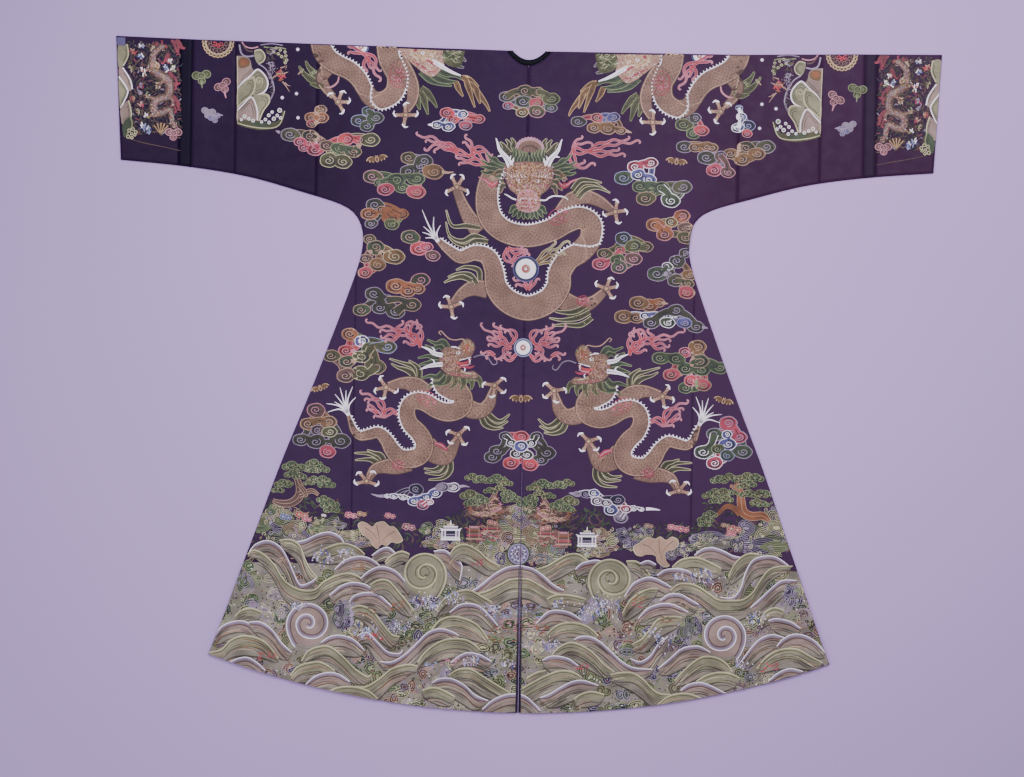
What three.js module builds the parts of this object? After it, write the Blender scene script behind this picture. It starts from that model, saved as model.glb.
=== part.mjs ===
import * as THREE from 'three';

// Lined silk surcoat, laid flat on its front with its back uppermost. Millimetres.
// x runs across the garment, y up towards the neck and z up from the table.
// A "drop" is a distance down the garment from the shoulder fold beside the neck.
// Right and left are the wearer's, so right is +x with the back uppermost.

const span = 1750; // from cuff to cuff
const backLength = 1402; // shoulder fold to hem, down the centre back
const wall = 1.4; // one layer: silk, its backing and the lining
const layerGap = 0.3; // between the front and the back that lies on it
const seamGap = 0.3; // between pieces that are sewn together

const cuffSlant = 14; // the cuff's mouth leans in by this much towards the underarm
const sleeveSeam = 447; // centre back to the seam where the sleeve is joined on
const goreSeam = 360; // centre back to the seam of the side gore
const goreTop = 480; // drop at which the side gore starts

const neck = { half: 34, backDrop: 18, frontDrop: 95, binding: 12, seamWidth: 0.5 };
const vent = { top: 855, spreadFrom: 1090, foldedGap: 1.2, hemGap: 6 };
const frontEdgeGap = 2; // the two front edges lie this far apart
const hemCorner = { x: 658, drop: 1288 };

// Pieces of the sleeve beyond the body, by their distance from the centre back.
const sleevePieces = [
  { name: 'sleeve', from: sleeveSeam, to: 620, steps: 3 },
  { name: 'fore_sleeve', from: 620, to: 712, steps: 2 },
  { name: 'sleeve_band', from: 712, to: 740, steps: 1 },
  { name: 'cuff', from: 740, to: span / 2, steps: 2 },
];

// The seam from the cuff along the underside of the sleeve, round the underarm and down the side.
const underSeam = [
  { x: 861, drop: 244 },
  { x: 720, drop: 256 },
  { x: 592, drop: 275 },
  { x: 478, drop: 305 },
  { x: 395, drop: 330 },
  { x: 361, drop: 353 },
  { x: 346, drop: 388 },
  { x: 347, drop: 428 },
  { x: 360, drop: 478 },
  { x: 396, drop: 580 },
  { x: 453, drop: 733 },
  { x: 509, drop: 875 },
  { x: 558, drop: 1012 },
  { x: 588, drop: 1095 },
  { x: 625, drop: 1200 },
  { x: hemCorner.x, drop: hemCorner.drop },
];
const armpit = 7; // the row of underSeam that lies nearest to the centre back

// The fold along the top of the sleeves and shoulders; the left sleeve lies a little higher.
const topFold = [
  { x: -875, drop: -17 },
  { x: -700, drop: -12 },
  { x: -400, drop: -6 },
  { x: -180, drop: 1 },
  { x: 0, drop: 0 },
  { x: 180, drop: 3 },
  { x: 400, drop: 2 },
  { x: 700, drop: -4 },
  { x: 875, drop: -6 },
];

// Broad swells of the upper layer: where each is centred, its reach along and across, how high it
// stands and how far its length turns from straight down, in degrees.
const swells = [
  { x: -170, drop: 760, along: 430, across: 120, rise: 2.4, turn: -6 },
  { x: 205, drop: 880, along: 380, across: 105, rise: 2.9, turn: 8 },
  { x: -455, drop: 1060, along: 300, across: 75, rise: 3.0, turn: -20 },
  { x: 470, drop: 1120, along: 260, across: 80, rise: 2.5, turn: 21 },
  { x: 30, drop: 250, along: 170, across: 190, rise: 1.8, turn: 0 },
  { x: -610, drop: 130, along: 80, across: 210, rise: 2.2, turn: 4 },
  { x: 640, drop: 120, along: 75, across: 190, rise: 1.9, turn: -5 },
  { x: -330, drop: 260, along: 120, across: 60, rise: 1.6, turn: 30 },
  { x: 345, drop: 250, along: 130, across: 60, rise: 1.9, turn: -28 },
];
const swellFade = 70; // a swell dies out over this distance from a seam or fold at the edge

const thickness = 2 * wall + layerGap;
const highestDrop = topFold[0].drop - thickness / 2;
const yOfShoulder = (backLength + highestDrop) / 2; // the middle of the whole lies at y = 0
const foldSteps = 4; // facets round the fold over the shoulder and sleeve

const silk = { color: 0x3e3054, roughness: 0.62, metalness: 0 };
const darkSilk = { color: 0x262238, roughness: 0.6, metalness: 0 };
const bindingSilk = { color: 0x15141f, roughness: 0.55, metalness: 0 };
const liningSilk = { color: 0x8797c8, roughness: 0.5, metalness: 0 };

const mix = (a, b, t) => a + (b - a) * t;
const seamCurve = new THREE.SplineCurve(underSeam.map((p) => new THREE.Vector2(p.x, p.drop)));
const seamSteps = 8;
const seamPoints = seamCurve.getPoints((underSeam.length - 1) * seamSteps);
const sleevePart = seamPoints.slice(0, armpit * seamSteps + 1);
const sidePart = seamPoints.slice(armpit * seamSteps);

// Reads a line of points: finds the stretch that holds value under key, and returns what is wanted there.
function readOff(points, key, value, wanted) {
  const last = points.length - 1;
  const found = points.findIndex((p, i) => i > 0 && (p[key] - value) * (points[i - 1][key] - value) <= 0);
  const nearStart = Math.abs(points[0][key] - value) < Math.abs(points[last][key] - value);
  const next = found > 0 ? found : nearStart ? 1 : last;
  const [a, b] = [points[next - 1], points[next]];
  return a[key] === b[key] ? a[wanted] : mix(a[wanted], b[wanted], (value - a[key]) / (b[key] - a[key]));
}

const foldDrop = (x) => readOff(topFold, 'x', x, 'drop');
const underDrop = (x) => readOff(sleevePart, 'x', Math.abs(x), 'y');
const sideX = (drop) => readOff(sidePart, 'y', drop, 'x');

// The hem is an arc through the centre back and the two hem corners.
const hemRise = backLength - hemCorner.drop;
const hemRadius = (hemCorner.x ** 2 + hemRise ** 2) / (2 * hemRise);
const hemDrop = (x) => backLength - hemRadius + Math.sqrt(hemRadius ** 2 - x ** 2);

// How high the upper layer stands above its flat lie.
function lift(x, drop) {
  let edge = drop - foldDrop(x);
  if (drop < underSeam[armpit].drop) {
    edge = Math.min(edge, Math.abs(x) > underSeam[armpit].x ? underDrop(x) - drop : edge);
  } else {
    edge = Math.min(edge, sideX(drop) - Math.abs(x));
  }
  const fade = THREE.MathUtils.smoothstep(edge, 0, swellFade);
  const height = swells.reduce((sum, s) => {
    const angle = THREE.MathUtils.degToRad(s.turn);
    const [dx, dd] = [x - s.x, drop - s.drop];
    const along = (dd * Math.cos(angle) + dx * Math.sin(angle)) / s.along;
    const across = (dx * Math.cos(angle) - dd * Math.sin(angle)) / s.across;
    return sum + s.rise * Math.exp(-(along ** 2) - across ** 2);
  }, 0);
  return height * fade;
}

const place = (x, drop, z) => new THREE.Vector3(x, yOfShoulder - drop, z);

// Outside and lining side of the back layer, the front layer and the fold between them.
const layers = {
  back: ([x, drop]) => {
    const top = thickness + lift(x, drop);
    return [place(x, drop, top), place(x, drop, top - wall)];
  },
  front: ([x, drop]) => [place(x, drop, 0), place(x, drop, wall)],
  fold: ([x, drop], angle) =>
    [thickness / 2, layerGap / 2].map((radius) =>
      place(x, drop - radius * Math.cos(angle), thickness / 2 + radius * Math.sin(angle))),
};

// Rows of [x, drop] become a grid of pairs. A folded piece runs from the back's lower edge over the fold.
const layRows = (rows, layer) => rows.map((row) => row.map((p) => layers[layer](p)));

function layFolded(backRows, frontRows) {
  const foldRows = [];
  for (let i = 1; i < foldSteps; i += 1) {
    const angle = Math.PI * (0.5 - i / foldSteps);
    foldRows.push(backRows[0].map((p) => layers.fold(p, angle)));
  }
  return [...layRows(backRows, 'back').reverse(), ...foldRows, ...layRows(frontRows, 'front')];
}

// One closed wall of cloth from a grid of outside and lining points.
function wallGeometry(grid) {
  const rows = grid.length;
  const columns = grid[0].length;
  const positions = [0, 1].flatMap((side) => grid.flatMap((row) => row.flatMap((pair) => pair[side].toArray())));
  const at = (r, c, side = 0) => side * rows * columns + r * columns + c;
  const index = [];
  const quad = (a, b, c, d) => index.push(a, b, c, a, c, d);
  for (let r = 0; r < rows - 1; r += 1) {
    for (let c = 0; c < columns - 1; c += 1) {
      quad(at(r, c), at(r + 1, c), at(r + 1, c + 1), at(r, c + 1));
      quad(at(r, c, 1), at(r, c + 1, 1), at(r + 1, c + 1, 1), at(r + 1, c, 1));
    }
  }
  const rim = [];
  for (let r = 0; r < rows - 1; r += 1) rim.push([r, 0]);
  for (let c = 0; c < columns - 1; c += 1) rim.push([rows - 1, c]);
  for (let r = rows - 1; r > 0; r -= 1) rim.push([r, columns - 1]);
  for (let c = columns - 1; c > 0; c -= 1) rim.push([0, c]);
  rim.forEach(([r, c], i) => {
    const [nextR, nextC] = rim[(i + 1) % rim.length];
    quad(at(nextR, nextC), at(r, c), at(r, c, 1), at(nextR, nextC, 1));
  });
  return closedGeometry(positions, index);
}

// Turns the faces outwards whichever way the rows were laid.
function closedGeometry(positions, index) {
  const point = (i) => new THREE.Vector3().fromArray(positions, 3 * i);
  let volume = 0;
  for (let i = 0; i < index.length; i += 3) {
    volume += point(index[i]).dot(point(index[i + 1]).cross(point(index[i + 2])));
  }
  const geometry = new THREE.BufferGeometry();
  geometry.setAttribute('position', new THREE.Float32BufferAttribute(positions, 3));
  geometry.setIndex(volume < 0 ? index.slice().reverse() : index);
  geometry.computeVertexNormals();
  return geometry;
}

const surcoat = new THREE.Group();

function add(name, grid, finish) {
  const mesh = new THREE.Mesh(wallGeometry(grid), new THREE.MeshStandardMaterial(finish));
  mesh.name = name;
  surcoat.add(mesh);
}

const sides = [
  { suffix: 'right', sign: 1 },
  { suffix: 'left', sign: -1 },
];
const evenly = (from, to, steps) => Array.from({ length: steps + 1 }, (_, i) => mix(from, to, i / steps));

// A point on the neckline, or out from it by a distance; t runs from the shoulder fold to the centre.
const neckSteps = 3;
function neckPoint(sign, t, drop, out) {
  const half = neck.half + out;
  const x = half * (1 - t);
  return [sign * x, (drop + out) * (1 - (x / half) ** 2) + foldDrop(sign * x) * (1 - t)];
}

// The body: one length of silk from the back hem over the shoulder to the front hem, to each side
// of the centre, with the first stretch of the sleeve. Its rows run from the centre outwards.
const bodyColumns = 7;
const centreSeam = seamGap / 2;

const goreEdge = goreSeam - seamGap / 2;
const skirtDrops = [570, 665, 760, vent.top, 950, 1020, vent.spreadFrom, 1190, 1290];

// The body's outer edge: down the sleeve seam, then round the underarm to the top of the gore.
function bodyOutline(sign) {
  const seamX = sleeveSeam - seamGap / 2;
  const top = foldDrop(sign * seamX);
  const onSleeveSeam = evenly(0, 1, 5).map((t) => [sign * seamX, mix(top, underDrop(seamX), t)]);
  const roundArmpit = underSeam
    .filter((p) => p.x < seamX && p.drop < goreTop)
    .map((p) => [sign * (p.drop > underSeam[armpit].drop ? Math.min(p.x, goreEdge) : p.x), p.drop]);
  return [...onSleeveSeam, ...roundArmpit];
}

function bodyRows(sign, neckDrop, edgeAt) {
  const outer = bodyOutline(sign);
  const neckEdge = (t) => neckPoint(sign, t, neckDrop, neck.binding + neck.seamWidth);
  const lowest = outer[outer.length - 1][1];
  const rows = outer.map((end, i) => {
    const below = (i - neckSteps) / (outer.length - 1 - neckSteps);
    const start = i < neckSteps ? neckEdge(i / neckSteps) : [0, mix(neckEdge(1)[1], lowest, below)];
    return [[sign * Math.max(Math.abs(start[0]), edgeAt(start[1])), start[1]], end];
  });
  skirtDrops.forEach((drop) => rows.push([[sign * edgeAt(drop), drop], [sign * goreEdge, drop]]));
  const laid = rows.map(([a, b]) =>
    evenly(0, 1, bodyColumns).map((t) => [mix(a[0], b[0], t), mix(a[1], b[1], t)]));
  const hemRow = evenly(edgeAt(backLength), goreEdge, bodyColumns).map((x) => [sign * x, hemDrop(x)]);
  return [...laid, hemRow];
}

function backEdge(drop) {
  if (drop <= vent.top) return centreSeam;
  const spread = THREE.MathUtils.clamp((drop - vent.spreadFrom) / (backLength - vent.spreadFrom), 0, 1);
  return mix(vent.foldedGap, vent.hemGap, spread) / 2;
}
const frontEdge = () => frontEdgeGap / 2;

// A side gore widens the skirt, one in the back and one in the front on each side.
const goreDrops = [goreTop, 530, 600, 700, 800, 900, 1000, 1095, 1195];
function goreRows(sign) {
  const inner = goreSeam + seamGap / 2;
  const rows = goreDrops.map((drop) => evenly(inner, sideX(drop), 3).map((x) => [sign * x, drop]));
  return [...rows, evenly(inner, hemCorner.x, 3).map((x) => [sign * x, hemDrop(x)])];
}

// A piece of the sleeve, folded along its top, with its two edges meeting in the under seam.
function sleeveRows(sign, { from, to, steps }) {
  const mouth = to === span / 2;
  const ends = [from + seamGap / 2, mouth ? to : to - seamGap / 2];
  return evenly(0, 1, 5).map((t) =>
    evenly(0, 1, steps).map((s) => {
      const x = mix(ends[0], ends[1] - (mouth ? cuffSlant * t : 0), s);
      return [sign * x, mix(foldDrop(sign * x), underDrop(x), t)];
    }));
}

sides.forEach(({ suffix, sign }) => {
  const back = bodyRows(sign, neck.backDrop, backEdge);
  const front = bodyRows(sign, neck.frontDrop, frontEdge);
  add(`body_${suffix}`, layFolded(back, front), silk);
  const gore = goreRows(sign);
  add(`back_gore_${suffix}`, layRows(gore, 'back'), silk);
  add(`front_gore_${suffix}`, layRows(gore, 'front'), silk);
  sleevePieces.forEach((piece) => {
    const rows = sleeveRows(sign, piece);
    add(`${piece.name}_${suffix}`, layFolded(rows, rows), piece.name === 'sleeve_band' ? darkSilk : silk);
  });
});

// The binding round the neck, from one front edge over both shoulders to the other.
function bindingGrid() {
  const across = [0, neck.binding];
  const onBack = (sign, t) => across.map((out) => layers.back(neckPoint(sign, t, neck.backDrop, out)));
  const onFold = (sign, t) =>
    across.map((out) => layers.fold(neckPoint(sign, 0, neck.backDrop, out), Math.PI * (0.5 - t)));
  const onFront = (sign, t) =>
    across.map((out) => {
      const [x, drop] = neckPoint(sign, t, neck.frontDrop, out);
      return layers.front([sign * Math.max(Math.abs(x), frontEdge()), drop]);
    });
  const steps = evenly(0, 1, neckSteps);
  const half = (sign) => [
    ...steps.map((t) => onBack(sign, t)).reverse(),
    ...evenly(0, 1, foldSteps).slice(1, -1).map((t) => onFold(sign, t)),
    ...steps.map((t) => onFront(sign, t)),
  ];
  return [...half(-1).reverse(), ...half(1).slice(1)];
}
add('neck_binding', bindingGrid(), bindingSilk);

// The corner of the left cuff's lining, turned out over the top of its mouth.
const turnOut = { width: 18, drop: 17, wall: 1, inset: 1.5, clear: 0.35 };
function turnOutGrid() {
  const rows = evenly(turnOut.inset, turnOut.inset + turnOut.drop, 1);
  const columns = evenly(turnOut.inset, turnOut.inset + turnOut.width, 1);
  return rows.map((down) =>
    columns.map((across) => {
      const x = -(span / 2 - across);
      const drop = foldDrop(x) + down;
      const base = thickness + turnOut.clear + lift(x, drop);
      return [place(x, drop, base + turnOut.wall), place(x, drop, base)];
    }));
}
add('lining_corner_left', turnOutGrid(), liningSilk);

export default surcoat;
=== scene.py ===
import math
import random

import bpy
import numpy as np
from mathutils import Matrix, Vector
from mathutils.geometry import tessellate_polygon


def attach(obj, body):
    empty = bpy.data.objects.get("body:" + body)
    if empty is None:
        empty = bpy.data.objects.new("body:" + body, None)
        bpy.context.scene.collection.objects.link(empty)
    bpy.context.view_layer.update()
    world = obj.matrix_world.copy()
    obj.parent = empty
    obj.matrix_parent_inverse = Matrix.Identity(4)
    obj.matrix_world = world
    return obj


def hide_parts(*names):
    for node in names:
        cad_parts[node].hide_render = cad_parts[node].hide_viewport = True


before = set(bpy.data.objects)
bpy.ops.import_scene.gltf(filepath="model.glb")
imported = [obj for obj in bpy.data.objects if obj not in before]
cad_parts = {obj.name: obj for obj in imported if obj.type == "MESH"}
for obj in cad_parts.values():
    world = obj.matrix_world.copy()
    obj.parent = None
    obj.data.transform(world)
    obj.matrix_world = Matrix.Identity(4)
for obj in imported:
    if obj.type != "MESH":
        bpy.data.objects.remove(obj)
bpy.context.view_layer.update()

print("frame loaded:", len(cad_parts), "pieces")

# Lined silk surcoat, laid flat with its back up. Shapes are worked out in millimetres across the
# garment (x) and down it from the shoulder fold at the neck (drop), and end up in metres.
mm = 0.001

# The cut, as the solids have it.
cut = {
    "wall": 1.4, "layerGap": 0.3, "seamGap": 0.3,
    "span": 1750, "backLength": 1402, "cuffSlant": 14,
    "sleeveSeam": 447, "goreSeam": 360, "goreTop": 480,
    "neckHalf": 34, "neckBackDrop": 18, "neckFrontDrop": 95, "binding": 12, "bindingSeam": 0.5,
    "ventTop": 855, "ventSpreadFrom": 1090, "ventFolded": 1.2, "ventHem": 6,
    "frontEdgeGap": 2, "hemCornerX": 658, "hemCornerDrop": 1288,
}
sleevePieces = [
    ("sleeve", cut["sleeveSeam"], 620), ("fore_sleeve", 620, 712),
    ("sleeve_band", 712, 740), ("cuff", 740, cut["span"] / 2),
]
# The under seam, from the cuff round the underarm and down the side to the hem: x, drop.
underSeam = np.array([
    (861, 244), (720, 256), (592, 275), (478, 305), (395, 330), (361, 353), (346, 388), (347, 428),
    (360, 478), (396, 580), (453, 733), (509, 875), (558, 1012), (588, 1095), (625, 1200),
    (cut["hemCornerX"], cut["hemCornerDrop"]),
], dtype=float)
armpit, goreRow = 7, 8  # rows of underSeam: nearest the centre back, and at the top of the gore
# The fold along the top of the sleeves and shoulders: x, drop.
topFold = np.array([
    (-875, -17), (-700, -12), (-400, -6), (-180, 1), (0, 0), (180, 3), (400, 2), (700, -4), (875, -6),
], dtype=float)
# Broad swells of the upper layer: x, drop, reach along, reach across, rise, degrees from straight down.
swells = [
    (-170, 760, 430, 120, 2.4, -6), (205, 880, 380, 105, 2.9, 8), (-455, 1060, 300, 75, 3.0, -20),
    (470, 1120, 260, 80, 2.5, 21), (30, 250, 170, 190, 1.8, 0), (-610, 130, 80, 210, 2.2, 4),
    (640, 120, 75, 190, 1.9, -5), (-330, 260, 120, 60, 1.6, 30), (345, 250, 130, 60, 1.9, -28),
]
swellFade = 70
# Finer creases, the same columns: soft ridges where the rise is above nought, troughs where below.
creases = [
    (-447, 150, 150, 7, -1.3, 0), (447, 150, 150, 7, -1.1, 0), (-360, 300, 95, 6, -1.4, 0),
    (-352, 640, 190, 8, -1.2, 2), (-356, 1010, 230, 7, -0.9, 0), (362, 760, 260, 7, -0.8, 0),
    (-425, 240, 55, 16, 1.1, 24), (-385, 270, 60, 13, 0.9, 38), (402, 262, 55, 14, 1.0, -32),
    (-700, 205, 16, 90, 0.8, 6), (-560, 228, 14, 80, 0.7, 10), (590, 222, 15, 95, 0.8, -8),
    (760, 205, 14, 70, 0.6, -4), (-300, 470, 110, 17, 0.8, -14), (305, 520, 120, 16, 0.9, 13),
    (-90, 40, 12, 60, 0.7, 3), (105, 44, 12, 65, 0.7, -3), (-250, 1180, 170, 22, 1.0, -9),
    (265, 1210, 160, 20, 1.1, 8), (-530, 1190, 120, 18, 0.9, -22), (560, 1215, 110, 17, 1.0, 24),
    (-120, 640, 150, 24, 0.7, 5), (140, 560, 130, 22, 0.8, -6), (-40, 1230, 130, 14, 0.8, 0),
    (44, 1250, 120, 13, 0.7, 0), (-620, 40, 13, 120, 0.8, 1), (560, 38, 13, 110, 0.7, -1),
]

cut["thickness"] = 2 * cut["wall"] + cut["layerGap"]
foldRadius = cut["thickness"] / 2
shoulderY = (cut["backLength"] + topFold[0, 1] - foldRadius) / 2


def catmull(points, steps, closed=False):
    # A smooth line through the points; steps is how many stretches each gap is cut into.
    p = np.asarray(points, float)
    before, after = (p[-1:], p[:2]) if closed else (p[:1], p[-1:])
    p = np.vstack([before, p, after])
    t = np.linspace(0, 1, steps, endpoint=False)[:, None]
    out = []
    for a, b, c, d in zip(p[:-3], p[1:-2], p[2:-1], p[3:]):
        v0, v1 = (c - a) / 2, (d - b) / 2
        out.append((2 * b - 2 * c + v0 + v1) * t ** 3 + (3 * c - 3 * b - 2 * v0 - v1) * t ** 2 + v0 * t + b)
    return np.vstack(out if closed else out + [p[-2:-1]])


seamSteps = 8
seamLine = catmull(underSeam, seamSteps)
sleeveLine, sideLine = seamLine[: armpit * seamSteps + 1], seamLine[armpit * seamSteps:]
hemRise = cut["backLength"] - cut["hemCornerDrop"]
hemRadius = (cut["hemCornerX"] ** 2 + hemRise ** 2) / (2 * hemRise)


def foldDrop(x):
    return np.interp(x, topFold[:, 0], topFold[:, 1])


def underDrop(x):
    return np.interp(np.abs(x), sleeveLine[::-1, 0], sleeveLine[::-1, 1])


def sideX(drop):
    return np.interp(drop, sideLine[:, 1], sideLine[:, 0])


def hemDrop(x):
    return cut["backLength"] - hemRadius + np.sqrt(hemRadius ** 2 - np.minimum(np.abs(x), 900.0) ** 2)


def smoothStep(low, high, value):
    t = np.clip((value - low) / (high - low), 0, 1)
    return t * t * (3 - 2 * t)


def bumps(table, x, drop):
    total = np.zeros_like(x)
    for cx, cd, along, across, rise, turn in table:
        c, s = math.cos(math.radians(turn)), math.sin(math.radians(turn))
        dx, dd = x - cx, drop - cd
        total += rise * np.exp(-(((dd * c + dx * s) / along) ** 2) - ((dx * c - dd * s) / across) ** 2)
    return total


def edgeDistance(x, drop):
    top = drop - foldDrop(x)
    under = np.where(np.abs(x) > underSeam[armpit, 0], underDrop(x) - drop, top)
    side = sideX(drop) - np.abs(x)
    return np.minimum(top, np.where(drop < underSeam[armpit, 1], under, side))


def lay(x, drop):
    # Height of the upper layer's outside above the table.
    x, drop = np.asarray(x, float), np.asarray(drop, float)
    edge = edgeDistance(x, drop)
    broad = bumps(swells, x, drop) * smoothStep(0, swellFade, edge)
    fine = bumps(creases, x, drop) * smoothStep(0, 22, edge)
    return cut["thickness"] + np.maximum(broad + fine, -0.2)


def place(x, drop, z):
    return np.stack([np.asarray(x, float) * mm, (shoulderY - np.asarray(drop, float)) * mm,
                     np.broadcast_to(np.asarray(z, float) * mm, np.shape(x))], axis=-1)


# Panels of cloth: each is a grid of points (x, drop), then a wall with an outside and a lining side.
def neckPoint(sign, t, drop, out):
    half = cut["neckHalf"] + out
    x = half * (1 - t)
    return np.array([sign * x, (drop + out) * (1 - (x / half) ** 2) + float(foldDrop(sign * x)) * (1 - t)])


def backEdge(drop):
    if drop <= cut["ventTop"]:
        return cut["seamGap"] / 2
    spread = np.clip((drop - cut["ventSpreadFrom"]) / (cut["backLength"] - cut["ventSpreadFrom"]), 0, 1)
    return float(cut["ventFolded"] + (cut["ventHem"] - cut["ventFolded"]) * spread) / 2


def frontEdge(drop):
    return cut["frontEdgeGap"] / 2


def bodyGrid(sign, neckDrop, edgeAt, pitch, columns):
    # Rows run from the centre outwards. Above the gore each ends on the sleeve seam or the underarm.
    seamX, goreX = cut["sleeveSeam"] - cut["seamGap"] / 2, cut["goreSeam"] - cut["seamGap"] / 2
    corner = np.interp(seamX, sleeveLine[::-1, 0], np.arange(len(sleeveLine))[::-1] / seamSteps)
    top, bottom = float(foldDrop(sign * seamX)), float(underDrop(seamX))
    out, neckRows, seamRows = cut["binding"] + cut["bindingSeam"], 3, 5
    lastRow = seamRows + 5
    neckEnd, lowest = neckPoint(sign, 1, neckDrop, out)[1], underSeam[goreRow, 1]
    rows = []
    for u in np.linspace(0, lastRow, int(lastRow * 55 / pitch) + 1):
        if u <= seamRows:
            end = np.array([sign * seamX, top + (bottom - top) * u / seamRows])
        else:
            s = np.interp(u, [seamRows, seamRows + 1, lastRow], [corner, 4, goreRow])
            end = np.array([np.interp(s * seamSteps, np.arange(len(seamLine)), seamLine[:, k]) for k in (0,
                1)])
            end[0] = sign * (min(end[0], goreX) if s > armpit else end[0])
        if u < neckRows:
            start = neckPoint(sign, u / neckRows, neckDrop, out)
        else:
            start = np.array([0, neckEnd + (lowest - neckEnd) * (u - neckRows) / (lastRow - neckRows)])
        start[0] = sign * max(abs(start[0]), edgeAt(start[1]))
        rows.append(np.linspace(start, end, columns + 1))
    straight = 1290
    for drop in np.linspace(lowest, straight, int((straight - lowest) / pitch) + 1)[1:]:
        rows.append(np.linspace((sign * edgeAt(drop), drop), (sign * goreX, drop), columns + 1))
    steps = int(110 / pitch)
    for v in np.arange(1, steps + 1) / steps:
        xs = np.linspace(edgeAt(straight + v * 112), goreX, columns + 1)
        rows.append(np.stack([sign * xs, straight + (hemDrop(xs) - straight) * v], axis=-1))
    return np.array(rows)


def goreGrid(sign, pitch):
    inner, top = cut["goreSeam"] + cut["seamGap"] / 2, cut["goreTop"]
    share = np.linspace(0, 1, int(300 / pitch) + 1)
    lowest = hemDrop(inner + (cut["hemCornerX"] - inner) * share)
    rows = []
    for t in np.linspace(0, 1, int(810 / pitch) + 1):
        drops = top + (lowest - top) * t
        outer = sideX(top + (cut["hemCornerDrop"] - top) * t)
        rows.append(np.stack([sign * (inner + (outer - inner) * share), drops], axis=-1))
    return np.array(rows)


def sleeveGrid(sign, start, end, pitch):
    mouth = end == cut["span"] / 2
    a, b = start + cut["seamGap"] / 2, end if mouth else end - cut["seamGap"] / 2
    rows = []
    for t in np.linspace(0, 1, int(270 / pitch) + 1):
        xs = np.linspace(a, b - (cut["cuffSlant"] * t if mouth else 0), max(2, int((b - a) / pitch)) + 1)
        tops = foldDrop(sign * xs)
        rows.append(np.stack([sign * xs, tops + (underDrop(xs) - tops) * t], axis=-1))
    return np.array(rows)


def backLayer(grid):
    z = lay(grid[..., 0], grid[..., 1])
    return np.stack([place(grid[..., 0], grid[..., 1], z), place(grid[..., 0], grid[..., 1],
        z - cut["wall"])])


def frontLayer(grid):
    flat = np.zeros(grid.shape[:2])
    return np.stack([place(grid[..., 0], grid[..., 1], flat),
                     place(grid[..., 0], grid[..., 1], flat + cut["wall"])])


def foldLayer(row, angles):
    sides = []
    for radius in (foldRadius, cut["layerGap"] / 2):
        arcs = [place(row[:, 0], row[:, 1] - radius * math.cos(a),
                      foldRadius + radius * math.sin(a)) for a in angles]
        sides.append(np.stack(arcs))
    return np.stack(sides)


def folded(backGrid, frontGrid):
    angles = [math.pi * (0.5 - i / 8) for i in range(1, 8)]
    return np.concatenate(
        [backLayer(backGrid)[:, ::-1], foldLayer(backGrid[0], angles), frontLayer(frontGrid)], axis=1)


def bindingSides(steps=14):
    # The strip round the neck, from one front edge over both shoulders to the other.
    across = np.array([0.0, cut["binding"]])
    angles = [math.pi * (0.5 - i / 8) for i in range(1, 8)]
    half = {}
    for sign in (-1, 1):
        back = np.array([[neckPoint(sign, t, cut["neckBackDrop"], out) for out in across]
                         for t in np.linspace(1, 0, steps)])
        front = np.array([[neckPoint(sign, t, cut["neckFrontDrop"], out) for out in across]
                          for t in np.linspace(0, 1, steps)])
        front[..., 0] = sign * np.maximum(np.abs(front[..., 0]), cut["frontEdgeGap"] / 2)
        half[sign] = np.concatenate([backLayer(back), foldLayer(back[-1], angles), frontLayer(front)], axis=1)
    return np.concatenate([half[-1][:, ::-1], half[1][:, 1:]], axis=1)


def turnOutSides(steps=9):
    # The corner of the left cuff's lining, turned out over the top of its mouth.
    turnOut = {"width": 18, "drop": 17, "wall": 1.0, "inset": 1.5, "clear": 0.35}
    down, over = np.meshgrid(np.linspace(turnOut["inset"], turnOut["inset"] + turnOut["drop"], steps),
                             np.linspace(turnOut["inset"], turnOut["inset"] + turnOut["width"], steps),
                             indexing="ij")
    x = -(cut["span"] / 2 - over)
    drop = foldDrop(x) + down
    base = lay(x, drop) + turnOut["clear"]
    return np.stack([place(x, drop, base + turnOut["wall"]), place(x, drop, base)])


def meshObject(name, points, faces, materials, faceMaterial=None, smooth=True):
    mesh = bpy.data.meshes.new(name)
    mesh.from_pydata([tuple(p) for p in points], [], [tuple(f) for f in faces])
    for material in materials:
        mesh.materials.append(material)
    if faceMaterial is not None:
        mesh.polygons.foreach_set("material_index", faceMaterial)
    mesh.polygons.foreach_set("use_smooth", [smooth] * len(mesh.polygons))
    mesh.validate()
    obj = bpy.data.objects.new(name, mesh)
    bpy.context.scene.collection.objects.link(obj)
    return obj


def flatMap(obj):
    # One flat layout for every piece, as the garment lies; lining faces lie beside it.
    layer = obj.data.uv_layers.new(name="OFBake")
    co = np.empty(len(obj.data.vertices) * 3)
    obj.data.vertices.foreach_get("co", co)
    index = np.empty(len(obj.data.loops), dtype=int)
    obj.data.loops.foreach_get("vertex_index", index)
    finish = np.empty(len(obj.data.polygons), dtype=int)
    obj.data.polygons.foreach_get("material_index", finish)
    count = np.empty(len(obj.data.polygons), dtype=int)
    obj.data.polygons.foreach_get("loop_total", count)
    xy = co.reshape(-1, 3)[index, :2]
    low, high = xy.min(axis=0), xy.max(axis=0)
    uv = (xy - low) / max(high - low) * (0.98 if finish.max() == 0 else 0.48) + 0.01
    uv[:, 0 if high[0] - low[0] < high[1] - low[1] else 1] += 0.5 * np.repeat(finish, count)
    layer.data.foreach_set("uv", uv.ravel())


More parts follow.
